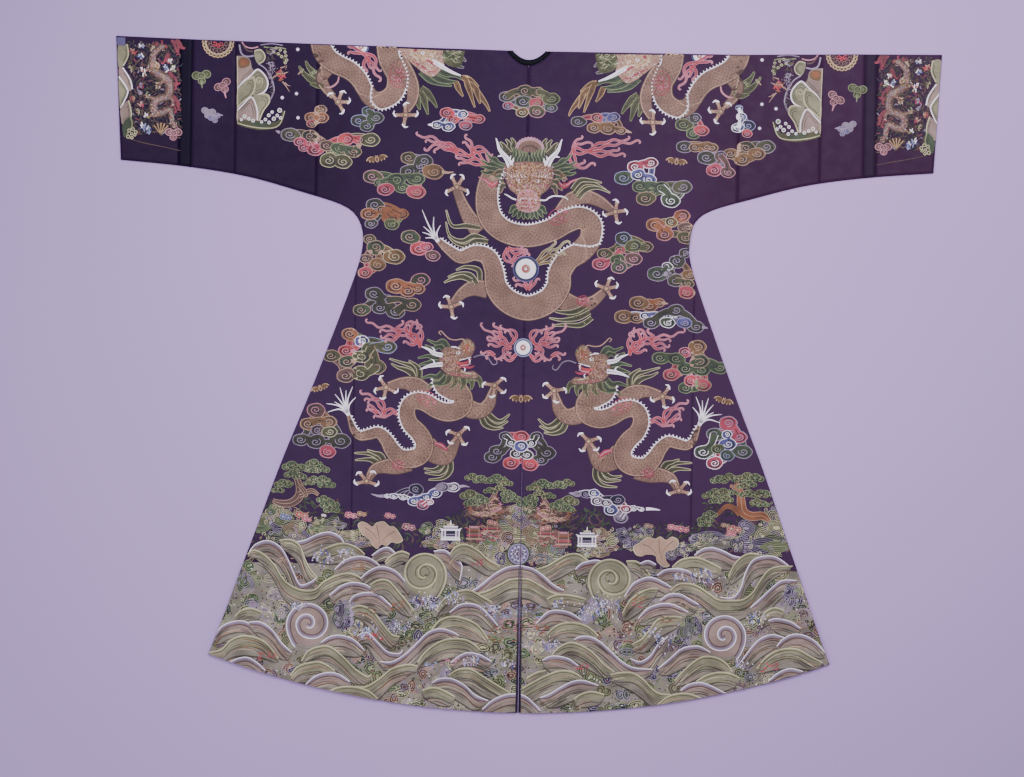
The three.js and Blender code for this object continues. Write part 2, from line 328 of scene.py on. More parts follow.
def wallObject(name, sides, outside, lining):
    # One closed wall of cloth from its outside and lining grids.
    rows, columns = sides.shape[1:3]
    count = rows * columns
    at = np.arange(count).reshape(rows, columns)
    quads = np.stack([at[:-1, :-1], at[1:, :-1], at[1:, 1:], at[:-1, 1:]], axis=-1).reshape(-1, 4)
    rim = np.concatenate([at[:, 0], at[-1, 1:], at[-2::-1, -1], at[0, -2:0:-1]])
    after = np.roll(rim, -1)
    edge = np.stack([after, rim, rim + count, after + count], axis=-1)
    faces = np.concatenate([quads, quads[:, ::-1] + count, edge])
    points = sides.reshape(-1, 3)
    a, b, c = (points[faces[:, k]] for k in (0, 1, 2))
    d = points[faces[:, 3]]
    volume = (np.einsum("ij,ij->i", a, np.cross(b, c)) + np.einsum("ij,ij->i", a, np.cross(c, d))).sum()
    if volume < 0:
        faces = faces[:, ::-1]
    which = [0] * len(quads) + [1] * len(quads) + [0] * len(edge)
    return meshObject(name, points, faces, [outside, lining], which)


# The studio: one soft light from above, a weaker one from the left, and a pale sky.
def areaLight(name, position, aim, size, power, tint):
    data = bpy.data.lights.new(name, "AREA")
    data.shape, data.size, data.size_y = "RECTANGLE", size[0], size[1]
    data.energy, data.color = power, tint
    lamp = bpy.data.objects.new(name, data)
    lamp.location = position
    lamp.rotation_euler = (Vector(aim) - Vector(position)).to_track_quat("-Z", "Y").to_euler()
    bpy.context.scene.collection.objects.link(lamp)


def buildStudio():
    studio = {
        "lens": 85, "sensor": 36, "seenWidth": 2.171, "middle": (-0.0242, -0.0231), "roll": 0.96,
        "sky": (0.93, 0.9, 1.0), "skyStrength": 0.7,
    }
    camera = bpy.data.objects.new("camera", bpy.data.cameras.new("camera"))
    camera.data.lens, camera.data.sensor_width = studio["lens"], studio["sensor"]
    camera.data.clip_end = 50
    height = studio["seenWidth"] * studio["lens"] / studio["sensor"]
    camera.location = (*studio["middle"], height)
    camera.rotation_euler = (0, 0, math.radians(studio["roll"]))
    bpy.context.scene.collection.objects.link(camera)
    bpy.context.scene.camera = camera
    areaLight("keyLight", (0.75, 1.35, 3.1), (0.1, 0.05, 0), (2.4, 1.6), 126, (1.0, 0.97, 1.0))
    areaLight("fillLight", (-1.7, 0.1, 2.9), (-0.1, 0, 0), (2.0, 2.0), 56, (0.97, 0.96, 1.0))
    world = bpy.data.worlds.new("sky")
    world.use_nodes = True
    back = world.node_tree.nodes["Background"]
    back.inputs["Color"].default_value = (*studio["sky"], 1)
    back.inputs["Strength"].default_value = studio["skyStrength"]
    bpy.context.scene.world = world


# Finishes.
class Wire:
    # A node's output that can be used in sums.
    def __init__(self, finish, socket):
        self.finish, self.socket = finish, socket

    def maths(self, operation, other, swapped=False):
        pair = (other, self) if swapped else (self, other)
        return self.finish.node("ShaderNodeMath", {"operation": operation}, {0: pair[0], 1: pair[1]})

    def __add__(self, other):
        return self.maths("ADD", other)

    def __radd__(self, other):
        return self.maths("ADD", other, True)

    def __sub__(self, other):
        return self.maths("SUBTRACT", other)

    def __rsub__(self, other):
        return self.maths("SUBTRACT", other, True)

    def __mul__(self, other):
        return self.maths("MULTIPLY", other)

    def __rmul__(self, other):
        return self.maths("MULTIPLY", other, True)

    def __truediv__(self, other):
        return self.maths("DIVIDE", other)


class Finish:
    def __init__(self, name, roughness, specular, sheen=0.0):
        self.material = bpy.data.materials.new(name)
        self.material.use_nodes = True
        self.tree = self.material.node_tree
        self.shader = self.tree.nodes["Principled BSDF"]
        self.shader.inputs["Roughness"].default_value = roughness
        self.shader.inputs["Specular IOR Level"].default_value = specular
        self.shader.inputs["Sheen Weight"].default_value = sheen
        self.where = self.node("ShaderNodeTexCoord", {}, {}, "Object")

    def node(self, kind, settings, inputs, out=0):
        made = self.tree.nodes.new(kind)
        for key, value in settings.items():
            setattr(made, key, value)
        for key, value in inputs.items():
            if isinstance(value, Wire):
                self.tree.links.new(value.socket, made.inputs[key])
            else:
                made.inputs[key].default_value = value
        return Wire(self, made.outputs[out])

    def feed(self, name, wire):
        self.tree.links.new(wire.socket, self.shader.inputs[name])

    def noise(self, scale, detail=3.0, stretch=(1, 1, 1), shift=(0, 0, 0)):
        moved = self.node("ShaderNodeMapping", {}, {"Vector": self.where, "Scale": stretch,
                                                    "Location": shift})
        return self.node("ShaderNodeTexNoise", {}, {"Vector": moved, "Scale": scale, "Detail": detail}, "Fac")

    def between(self, wire, low, high, smooth=True):
        kind = "SMOOTHSTEP" if smooth else "LINEAR"
        return self.node("ShaderNodeMapRange", {"interpolation_type": kind},
                         {"Value": wire, "From Min": low, "From Max": high}, "Result")

    def blend(self, factor, a, b):
        made = self.tree.nodes.new("ShaderNodeMix")
        made.data_type = "RGBA"
        for key, value in ((0, factor), (6, a), (7, b)):
            if isinstance(value, Wire):
                self.tree.links.new(value.socket, made.inputs[key])
            else:
                made.inputs[key].default_value = value if key == 0 else (*value, 1)
        return Wire(self, made.outputs[2])

    def bump(self, wire, strength, distance):
        self.feed("Normal", self.node("ShaderNodeBump", {}, {"Height": wire, "Strength": strength,
                                                             "Distance": distance}, "Normal"))


def lighter(colour, factor):
    return tuple(min(1.0, c * factor) for c in colour)


def groundSilk(name, colours, darkSleeve=True):
    # Figured satin: fine threads down the length, worn and faded unevenly, darker down the sleeves, with
    # painted light towards the right and painted shade to the left.
    silk = Finish(name, 0.5, 0.07, 0.012)
    faded = silk.between(silk.noise(2.6, 4.0), 0.35, 0.68)
    mottled = silk.between(silk.noise(42, 4.0), 0.3, 0.7)
    threads = silk.noise(900, 1.0, (1, 0.06, 1))
    base = silk.blend(faded, colours["deep"], colours["faded"])
    base = silk.blend(mottled * 0.4, base, colours["worn"])
    parts = silk.node("ShaderNodeSeparateXYZ", {}, {0: silk.where}, "Y")
    height = silk.between(parts, 0.3, 0.72)
    base = silk.blend(height * 0.7, base, colours["deep"])
    if darkSleeve:
        across = silk.node("ShaderNodeMath", {"operation": "ABSOLUTE"},
                           {0: silk.node("ShaderNodeSeparateXYZ", {}, {0: silk.where}, "X")})
        out = silk.between(across, 0.33, 0.45) * silk.between(parts, 0.33, 0.36)
        below = 1 - silk.between(parts, 0.5, 0.6)
        base = silk.blend(out * (0.45 + below * 0.5), base, colours["sleeve"])
    side = silk.node("ShaderNodeSeparateXYZ", {}, {0: silk.where}, "X")
    # Painted light and shade: the satin is lighter and warmer towards the right, where the light falls, and
    # darker on the left, fading out down the skirt.
    base = silk.blend(silk.between(side, -0.15, 0.5) * 0.6, base, colours["warmPaintedLight"])
    base = silk.blend((1 - silk.between(side, -0.4, -0.02)) * silk.between(parts, -0.1, 0.3) * 0.6, base,
                      colours["deep"])
    base = silk.blend((1 - silk.between(parts, -0.1, 0.3)) * 0.4, base, colours["worn"])
    base = silk.blend(threads * 0.22, base, colours["thread"])
    silk.feed("Base Color", base)
    silk.feed("Roughness", 0.44 + mottled * 0.16)
    silk.bump(threads * 0.7 + silk.noise(120, 3.0) * 0.6, 0.35, 0.0004)
    return silk.material


def plainSilk(name, colour, roughness=0.5, weave=1100):
    silk = Finish(name, roughness, 0.06, 0.0)
    soft = silk.between(silk.noise(30, 3.0), 0.3, 0.7)
    threads = silk.noise(weave, 1.0, (1, 0.15, 1))
    base = silk.blend(soft * 0.6, lighter(colour, 0.8), lighter(colour, 1.2))
    silk.feed("Base Color", silk.blend(threads * 0.3, base, lighter(colour, 1.6)))
    silk.bump(threads, 0.3, 0.0003)
    return silk.material


def threadFinish(name, colour, spread=0.3, metal=0.0, roughness=0.55, stretch=(0.25, 1, 1)):
    # Woven or stitched floss: fine parallel threads with uneven dye and a slight shine.
    floss = Finish(name, roughness, 0.2 + 0.2 * metal, 0.0)
    dye = floss.between(floss.noise(24, 4.0), 0.28, 0.72)
    threads = floss.between(floss.noise(620, 2.0, stretch), 0.3, 0.7)
    base = floss.blend(dye, lighter(colour, 1 - spread), lighter(colour, 1 + spread))
    floss.feed("Base Color", floss.blend(threads * 0.3, base, lighter(colour, 1 - spread * 1.2)))
    floss.feed("Roughness", roughness - 0.1 + threads * 0.2)
    if metal:
        floss.shader.inputs["Metallic"].default_value = metal
    floss.bump(threads, 0.4, 0.0002)
    return floss.material


# Floss colours, and how much each shade wanders.
flossColours = {
    "gold": {"colour": (0.138, 0.076, 0.064), "spread": 0.22},
    "goldLight": {"colour": (0.38, 0.25, 0.14), "spread": 0.25},
    "goldScale": {"colour": (0.44, 0.29, 0.19), "spread": 0.25},
    "goldDark": {"colour": (0.05, 0.026, 0.024), "spread": 0.25},
    "goldDot": {"colour": (0.085, 0.045, 0.04), "spread": 0.25},
    "olive": {"colour": (0.046, 0.046, 0.024), "spread": 0.3},
    "oliveDark": {"colour": (0.026, 0.026, 0.018), "spread": 0.35},
    "brown": {"colour": (0.07, 0.038, 0.036), "spread": 0.35},
    "cream": {"colour": (0.38, 0.345, 0.22), "spread": 0.2},
    "lilac": {"colour": (0.23, 0.18, 0.27), "spread": 0.2},
    "mauve": {"colour": (0.15, 0.115, 0.165), "spread": 0.2},
    "white": {"colour": (0.72, 0.66, 0.76), "spread": 0.08},
    "rose": {"colour": (0.25, 0.034, 0.062), "spread": 0.3},
    "pink": {"colour": (0.4, 0.165, 0.225), "spread": 0.2},
    "wine": {"colour": (0.12, 0.026, 0.042), "spread": 0.3},
    "red": {"colour": (0.31, 0.038, 0.05), "spread": 0.3},
    "orange": {"colour": (0.172, 0.06, 0.028), "spread": 0.35},
    "ochre": {"colour": (0.108, 0.057, 0.028), "spread": 0.3},
    "blue": {"colour": (0.055, 0.055, 0.17), "spread": 0.3},
    "paleBlue": {"colour": (0.2, 0.22, 0.38), "spread": 0.25},
    "green": {"colour": (0.033, 0.047, 0.028), "spread": 0.35},
    "paleGreen": {"colour": (0.16, 0.19, 0.1), "spread": 0.25},
    "tan": {"colour": (0.3, 0.185, 0.14), "spread": 0.2},
    "navy": {"colour": (0.01, 0.008, 0.024), "spread": 0.3},
    "shade": {"colour": (0.012, 0.009, 0.02), "spread": 0.3},
    "water": {"colour": (0.172, 0.16, 0.104), "spread": 0.28},
    "waterBrown": {"colour": (0.2, 0.138, 0.126), "spread": 0.28},
    "waterDeep": {"colour": (0.156, 0.134, 0.114), "spread": 0.35},
    "waterDark": {"colour": (0.046, 0.037, 0.03), "spread": 0.35},
}
flossSlots = {
    "gold": "gold_thread", "goldLight": "gold_thread", "goldDark": "gold_thread", "olive": "green_silk",
    "oliveDark": "green_silk", "brown": "brown_silk", "cream": "cream_silk", "lilac": "white_silk",
    "white": "white_silk", "rose": "red_silk", "pink": "pink_silk", "red": "red_silk", "wine": "red_silk",
    "orange": "orange_silk", "ochre": "orange_silk", "blue": "blue_silk", "paleBlue": "blue_silk",
    "green": "green_silk", "paleGreen": "green_silk", "tan": "cream_silk", "navy": "dark_silk",
    "shade": "dark_silk", "mauve": "white_silk", "goldScale": "gold_thread", "goldDot": "gold_thread",
    "water": "green_silk",
    "waterBrown": "brown_silk", "waterDeep": "green_silk", "waterDark": "green_silk",
}


# Figures are drawn as flat shapes, the way floss is laid: a later shape lies over an earlier one.
# Each shape is kept under its floss colour, and its height is a thread's step above what it covers.
layering = {"clear": 0.3, "step": 0.012, "longest": 13.0, "margin": 0.7, "cell": 6.0, "left": -900,
            "top": -40}
stock = {name: {"points": [], "faces": [], "count": 0} for name in flossColours}
marks = {}
stack = np.zeros((250, 300), int)


def cellsOf(points):
    # The row and column of the layering grid that each point falls in.
    column = ((points[:, 0] - layering["left"]) / layering["cell"]).astype(int).clip(0, stack.shape[1] - 1)
    return ((points[:, 1] - layering["top"]) / layering["cell"]).astype(int).clip(0,
        stack.shape[0] - 1), column


def insideEdges(p):
    # Keeps points on the garment: below the fold, above the under seam and hem, within the sides.
    m, x, drop = layering["margin"], np.abs(p[:, 0]), p[:, 1].copy()
    fold, under = foldDrop(p[:, 0]), underDrop(x)
    sleeve = (drop < underSeam[armpit, 1]) & (x > underSeam[armpit, 0])
    mouth = cut["span"] / 2 - cut["cuffSlant"] * np.clip((drop - fold) / (under - fold), 0, 1) - m
    x = np.where(sleeve, np.minimum(x, mouth), np.minimum(x, np.where(drop < 300, x, sideX(drop) - m)))
    drop = np.where(sleeve, np.minimum(drop, under - m), np.minimum(drop, hemDrop(x) - m))
    return np.stack([np.copysign(x, p[:, 0]), np.maximum(drop, fold + 0.4)], axis=-1)


def finer(points, faces):
    # Quarters the triangles that are too long to follow the cloth.
    for _ in range(5):
        t = points[faces]
        edge = np.linalg.norm(t - np.roll(t, -1, axis=1), axis=-1).max(axis=1)
        big = edge > layering["longest"]
        if not big.any():
            break
        a, b, c = t[big].transpose(1, 0, 2)
        ab, bc, ca = (a + b) / 2, (b + c) / 2, (c + a) / 2
        n, k = len(points), len(a)
        i = np.arange(k) + n
        points = np.concatenate([points, a, b, c, ab, bc, ca])
        ka, kb, kc, kab, kbc, kca = (i + k * j for j in range(6))
        quarters = (ka, kab, kca), (kab, kb, kbc), (kca, kbc, kc), (kab, kbc, kca)
        new = np.concatenate([np.stack(f, -1) for f in quarters])
        faces = np.concatenate([faces[~big], new])
    return points, faces


def partAtVent(points, faces):
    # Shapes over the open vent are cut along its middle, and their edges drawn back to the cloth's.
    t = points[faces]
    low, high = t[..., 0].min(axis=1), t[..., 0].max(axis=1)
    over = t[..., 1].max(axis=1) > cut["ventTop"]
    crossing = over & (low < 0) & (high > 0)
    if not (over & (low < 4) & (high > -4)).any():
        return points, faces
    out = list(t[~crossing])
    for shape in t[crossing]:
        for sign in (-1, 1):
            kept = []
            for a, b in zip(shape, np.roll(shape, -1, axis=0)):
                if a[0] * sign >= 0:
                    kept.append(a)
                if a[0] * b[0] < 0:
                    kept.append(a + (b - a) * a[0] / (a[0] - b[0]))
            out += [np.array([kept[0], kept[k], kept[k + 1]]) for k in range(1, len(kept) - 1)]
    t = np.array(out)
    side = np.sign(t[..., 0].mean(axis=1))[:, None]
    edge = np.vectorize(backEdge)(t[..., 1]) + 0.3
    near = (t[..., 0] * side < edge) & (t[..., 1] > cut["ventTop"])
    t[..., 0] = np.where(near, edge * side, t[..., 0])
    return t.reshape(-1, 2), np.arange(len(t) * 3).reshape(-1, 3)


def keep(colour, points, faces):
    points, faces = finer(np.asarray(points, float), np.asarray(faces))
    points, faces = partAtVent(points, faces)
    points = insideEdges(points)
    t = points[faces]
    a, b = t[:, 1] - t[:, 0], t[:, 2] - t[:, 0]
    area = a[:, 0] * b[:, 1] - a[:, 1] * b[:, 0]
    faces = np.where((area > 0)[:, None], faces[:, ::-1], faces)[np.abs(area) > 0.02]
    if not len(faces):
        return
    t = points[faces]
    rows, columns = cellsOf(np.concatenate([t.reshape(-1, 2), t.mean(axis=1), (t[:, 0] + t[:, 1]) / 2,
                                            (t[:, 1] + t[:, 2]) / 2, (t[:, 2] + t[:, 0]) / 2]))
    level = stack[rows, columns].max() + 1
    stack[rows, columns] = level
    z = lay(points[:, 0], points[:, 1]) + layering["clear"] + level * layering["step"]
    heap = stock[colour]
    heap["points"].append(place(points[:, 0], points[:, 1], z))
    heap["faces"].append(faces + heap["count"])
    heap["count"] += len(points)


def wedge(angle, length=1.0):
    return np.array([math.cos(math.radians(angle)), math.sin(math.radians(angle))]) * length


def taper(widths, count):
    w = np.atleast_1d(np.asarray(widths, float))
    if len(w) == count:
        return w
    places = np.linspace(0, 1, len(w)) if len(w) > 1 else [0]
    return np.interp(np.linspace(0, 1, count), places, w)


def headings(path):
    along = np.gradient(path, axis=0)
    return along / np.maximum(np.hypot(along[:, 0], along[:, 1]), 1e-6)[:, None]


class Pen:
    # Draws in its own upright frame, in millimetres, at a place on the garment.
    def __init__(self, x=0.0, drop=0.0, size=1.0, turn=0.0, flip=1, matrix=None):
        c, s = math.cos(math.radians(turn)), math.sin(math.radians(turn))
        own = np.array([[c, -s], [s, c]]) @ np.diag([flip, 1]) * size
        self.origin = np.array([x, drop], float)
        self.matrix = (np.diag([1, -1]) if matrix is None else matrix) @ own

    def at(self, points):
        return self.origin + np.atleast_2d(np.asarray(points, float)) @ self.matrix.T

    def inside(self, x, y, size=1.0, turn=0.0, flip=1):
        x, drop = self.at((x, y))[0]
        return Pen(x, drop, size, turn, flip, self.matrix)

    def band(self, colour, path, width, steps=0):
        # A ribbon along a path; width is one number, or several spread along it.
        p = self.at(catmull(path, steps) if steps else path)
        along = headings(p)
        scale = math.sqrt(abs(np.linalg.det(self.matrix)))
        offset = np.stack([along[:, 1], -along[:, 0]], axis=-1) * (taper(width, len(p)) * scale / 2)[:, None]
        n, i = len(p), np.arange(len(p) - 1)
        faces = np.concatenate([np.stack([i, i + 1, i + n + 1], -1), np.stack([i, i + n + 1, i + n], -1)])
        keep(colour, np.concatenate([p + offset, p - offset]), faces)

    def strip(self, colour, path, other):
        # What lies between two lines of the same number of points.
        p, q = self.at(path), self.at(other)
        rows, n = max(1, math.ceil(np.linalg.norm(q - p, axis=1).max() / 9)), len(p)
        grid = p + (q - p) * np.linspace(0, 1, rows + 1)[:, None, None]
        i = (np.arange(rows)[:, None] * n + np.arange(n - 1)).ravel()
        faces = np.concatenate([np.stack([i, i + 1, i + n + 1], -1), np.stack([i, i + n + 1, i + n], -1)])
        keep(colour, grid.reshape(-1, 2), faces)

    def patch(self, colour, outline, steps=0):
        p = self.at(catmull(outline, steps, True) if steps else outline)
        faces = tessellate_polygon([[(a, b, 0) for a, b in p]])
        if faces:
            keep(colour, p, faces)

    def disc(self, colour, x, y, rx, ry=None, turn=0, corners=16):
        ry = rx if ry is None else ry
        t = np.linspace(0, 2 * math.pi, corners, endpoint=False)
        c, s = math.cos(math.radians(turn)), math.sin(math.radians(turn))
        ring = np.stack([rx * np.cos(t), ry * np.sin(t)], -1) @ np.array([[c, s], [-s, c]])
        i = np.arange(corners)
        keep(colour, self.at(np.vstack([[x, y], ring + (x, y)])),
             np.stack([np.zeros(corners, int), i + 1, (i + 1) % corners + 1], -1))

    def lock(self, path, width, fill, line, rim=1.2, steps=5):
        # A tapering lock of hair, flame or tuft: a paler rim under a fill.
        smooth = catmull(path, steps)
        shape = np.interp(np.linspace(0, 1, len(smooth)), [0, 0.3, 1], [0.8, 1, 0.1]) * width
        self.band(line, smooth, shape + 2 * rim)
        self.band(fill, smooth, shape)

    def curl(self, colour, x, y, radius, turns, start, way, width, squash=1.0):
        # A spiral line that winds in towards its centre.
        t = np.linspace(0, 1, int(9 * turns) + 3)
        a = math.radians(start) + way * 2 * math.pi * turns * t
        r = radius * (1 - 0.85 * t)
        self.band(colour, np.stack([x + r * np.cos(a), y + r * squash * np.sin(a)], -1), width)

    def mark(self, kind, colour, points, turns=0.0, size=1.0):
        # Places for what repeats: scales, spines and knots.
        p = self.at(points)
        v = np.stack([np.cos(turns), np.sin(turns)], -1) * np.ones((len(p), 1)) @ self.matrix.T
        rows, columns = cellsOf(p)
        entry = np.column_stack([p, np.arctan2(-v[:, 1], v[:, 0]), np.broadcast_to(size, len(p)),
                                 stack[rows, columns] + 1])
        marks.setdefault((kind, colour), []).append(entry)


def scatter(outline, pitch, rng):
    # Uneven places all over the inside of an outline.
    outline = [tuple(p) for p in outline]
    low, high = np.min(outline, axis=0), np.max(outline, axis=0)
    places = []
    for k, y in enumerate(np.arange(low[1] + 1, high[1], pitch)):
        for x in np.arange(low[0] + (k % 2) * pitch / 2, high[0], pitch):
            px, py = x + rng.uniform(-0.35, 0.35) * pitch, y + rng.uniform(-0.35, 0.35) * pitch
            inside = False
            for (ax, ay), (bx, by) in zip(outline, outline[1:] + outline[:1]):
                if (ay > py) != (by > py) and px < (bx - ax) * (py - ay) / (by - ay) + ax:
                    inside = not inside
            if inside:
                places.append((px, py))
    return places


def flecks(pen, outline, colours, pitch=7.0, length=12.0, width=2.6, seed=1, tilt=50):
    # Broken strokes of floss in a few colours, where the pattern is too close to tell apart.
    rng = random.Random(seed)
    names, shares = zip(*colours)
    for x, y in scatter(outline, pitch, rng):
        way = wedge(rng.uniform(-tilt, tilt), length * rng.uniform(0.35, 0.65))
        lift = (-way[1] * 0.5, way[0] * 0.5 * rng.choice((-1, 1)))
        pen.band(rng.choices(names, shares)[0], [(x - way[0], y - way[1]), (x + lift[0], y + lift[1]),
                                                 (x + way[0], y + way[1])],
                                                 [width * 0.5, width, width * 0.4], 2)


# Motifs of the traditional kind, each drawn by its own small rule.
def measure(path):
    return np.concatenate([[0], np.cumsum(np.hypot(*np.diff(path, axis=0).T))])


def along(path, *others, every):
    # Even steps along a path, with any other rows carried along.
    s = measure(path)
    steps = np.arange(every / 2, s[-1], every)
    return [np.stack([np.interp(steps, s, row) for row in np.atleast_2d(np.asarray(x).T)], -1)
            for x in (path, *others)]


def scaly(pen, path, width, pitch, colour="goldScale"):
    # Rows of scales across a body, each row set half a scale over from the last.
    points, widths, ways = along(path, width, headings(path), every=pitch * 0.52)
    rows, turns = [], []
    for k, (p, w, way) in enumerate(zip(points, widths[:, 0], ways)):
        spots = (np.arange(-8, 9) + 0.5 * (k % 2)) * pitch
        spots = spots[np.abs(spots) < w / 2 - pitch * 0.36]
        rows.append(p + np.outer(spots, (-way[1], way[0])))
        turns.append(np.full(len(spots), math.atan2(way[1], way[0])))
    if rows and sum(map(len, rows)):
        rows, turns = np.vstack(rows), np.concatenate(turns)
        pen.mark("scales", colour, rows, turns, pitch / 9)
        pen.mark("knots", "goldDot", rows - 0.2 * pitch * np.stack([np.cos(turns), np.sin(turns)], -1), 0,
                 0.78)


def serpent(pen, line, widths, sides, pitch=9.4):
    # A scaled body from neck to tail. Sides says, down its length, which edge the white crest is on.
    path = catmull(line, 8)
    width = catmull([(w, w) for w in widths], 8)[:, 0]
    side = np.interp(np.linspace(0, len(sides) - 1, len(path)), np.arange(len(sides)), sides)
    way = headings(path)
    out = np.stack([-way[:, 1], way[:, 0]], -1)
    pen.band("goldDark", path, width + 3.4)
    pen.band("gold", path, width)
    pen.band("tan", path - out * (side * (width * 0.5 - 1.2))[:, None], 1.7)
    scaly(pen, path, width, pitch)
    crest = path + out * (side * width * 0.5)[:, None]
    pen.band("white", crest, 1.9)
    points, ways = along(crest, out * side[:, None], every=7.6)
    pen.mark("spines", "white", points + ways * 0.2, np.arctan2(ways[:, 1], ways[:, 0]))


def limb(pen, line, widths, side, pitch=9.0):
    path = catmull(line, 6)
    width = catmull([(w, w) for w in widths], 6)[:, 0]
    way = headings(path)
    out = np.stack([-way[:, 1], way[:, 0]], -1) * side
    pen.band("goldDark", path, width + 3.4)
    pen.band("gold", path, width)
    pen.band("tan", path + out * (width * 0.5 - 1.4)[:, None], 2.2)
    shin = int(len(path) * 0.75)
    scaly(pen, path[:shin], width[:shin] * 0.9, pitch)


def paw(pen, toes, reach=17):
    reach *= 1.12
    for way in toes:
        pen.band("goldDark", [(0, 0), wedge(way, reach)], [11, 8])
    for k, way in enumerate(toes):
        turn = 1 if (k % 2 == 0) == (len(toes) > 3) else -1
        tip, bend = wedge(way, reach), wedge(way + 95 * turn)
        pen.band("tan", [(0, 0), tip * 0.55, tip], [8.6, 5.4, 5])
        pen.disc("tan", *(tip * 0.96), 4, corners=10)
        pen.disc("rose", *(tip * 0.5), 1.7, corners=8)
        pen.band("white", catmull([tip - bend * 4, tip * 1.16, tip * 1.28 + bend * 4,
                                   tip * 1.2 + bend * 10], 4),
                 [2, 4.6, 4, 0.8])
    pen.disc("gold", 0, 0, 7)
    pen.disc("goldLight", 0, 0, 3.2, corners=10)


def tuft(pen, locks, fill="olive", line="paleGreen", width=7, rim=1.5):
    # A mass of hair under pale-rimmed locks, each broad where it grows and parted by a dark line.
    smooth = [catmull(path, 5) for path in locks]
    for one, other in zip(smooth[:-1], smooth[1:]):
        reach = int(min(len(one), len(other)) * 0.62)
        if np.linalg.norm(one[reach - 1] - other[reach - 1]) < 26 * width / 7:
            pen.strip(fill, one[:reach], other[:reach])
    for path in locks:
        pen.lock(path, width * 1.5, fill, line, rim - 0.35)
        pen.band("shade", catmull(path, 5)[2:-4], [1.6, 1.4, 0.6])


def flame(pen, branches, fill="rose", line="pink", width=5.4, rim=1.5):
    # Wavering strands of fire that leave one root, part and curl over at their tips.
    paths, widths = [], []
    for path in branches:
        smooth = catmull(path, 6)
        s = measure(smooth)
        t = s / s[-1]
        way = headings(smooth)
        out = np.stack([-way[:, 1], way[:, 0]], -1)
        for side, reach, phase in ((-0.7, 0.8, 0.4), (0.7, 1.0, 3.4)):
            sway = np.sin(s * 0.19 + phase) * 2.6 * t ** 0.4
            spread = side * width * (0.35 + 0.8 * np.sin(math.pi * t ** 0.8))
            strand = (smooth + out * (spread + sway)[:, None])[:max(5, int(len(smooth) * reach))]
            lean = out[len(strand) - 1] * (1 if side > 0 else -1)
            ahead = way[len(strand) - 1]
            tip = strand[-1]
            hook = catmull([tip, tip + ahead * 4.5 + lean * 1.2, tip + ahead * 6.5 + lean * 4.6,
                            tip + ahead * 3.8 + lean * 6.8], 3)
            strand = np.vstack([strand, hook[1:]])
            paths.append(strand)
            widths.append(taper([width * 0.45, width * 0.78, width * 0.66, width * 0.48, 0.8], len(strand)))
    for colour, spare in ((line, 2 * rim - 0.9), (fill, 0)):
        for path, wide in zip(paths, widths):
            pen.band(colour, path, wide + spare)
    for path, wide in zip(paths, widths):
        # Red at the root, paler towards the tip.
        third = max(3, len(path) // 3)
        pen.band("red" if fill == "rose" else fill, path[:third], wide[:third] * np.linspace(0.8, 0.2, third))
        pen.band(line, path[-2 * third:], wide[-2 * third:] * np.linspace(0.1, 0.8, 2 * third))


lobeLines = {"green": "paleGreen", "olive": "cream", "oliveDark": "lilac", "rose": "pink", "red": "pink",
             "orange": "tan", "ochre": "cream", "blue": "paleBlue", "paleBlue": "white", "lilac": "white",
             "brown": "tan", "pink": "white", "goldDark": "tan", "paleGreen": "cream", "navy": "paleBlue",
             "tan": "lilac", "white": "paleBlue", "gold": "cream", "goldLight": "white"}


def lobeRing(pen, colour, x, y, r, spare, squash, away):
    # One lobe of a scroll: round on its far side, drawn out a little towards the middle of its cloud.
    t = np.linspace(0, 2 * math.pi, 18, endpoint=False)
    grow = 1 + 0.22 * np.clip(-np.cos(t - math.radians(away)), 0, 1) ** 3 + 0.03 * np.cos(5 * t)
    ring = np.stack([(r * grow - spare) * np.cos(t), (r * squash * grow - spare) * np.sin(t)], -1)
    i = np.arange(18)
    keep(colour, pen.at(np.vstack([[x, y], ring + (x, y)])), np.stack([np.zeros(18, int), i + 1,
        (i + 1) % 18 + 1], -1))


def lobeScroll(pen, x, y, r, line, start, way, squash):
    # Its inside: a dark shadow under the brow and a pale line that curls in.
    if r > 9:
        a = np.radians(start + way * np.linspace(40, 250, 8))
        brow = np.stack([x + r * 0.7 * np.cos(a), y + r * 0.7 * squash * np.sin(a)], -1)
        pen.band("shade", brow, [1, 2.8, 3, 1])
    pen.curl("shade", x, y, r * 0.5, 1.3, start + 60, way, 2.4, squash)
    pen.curl(line, x, y, r * 0.6, 1.45, start, way, 1.35, squash)


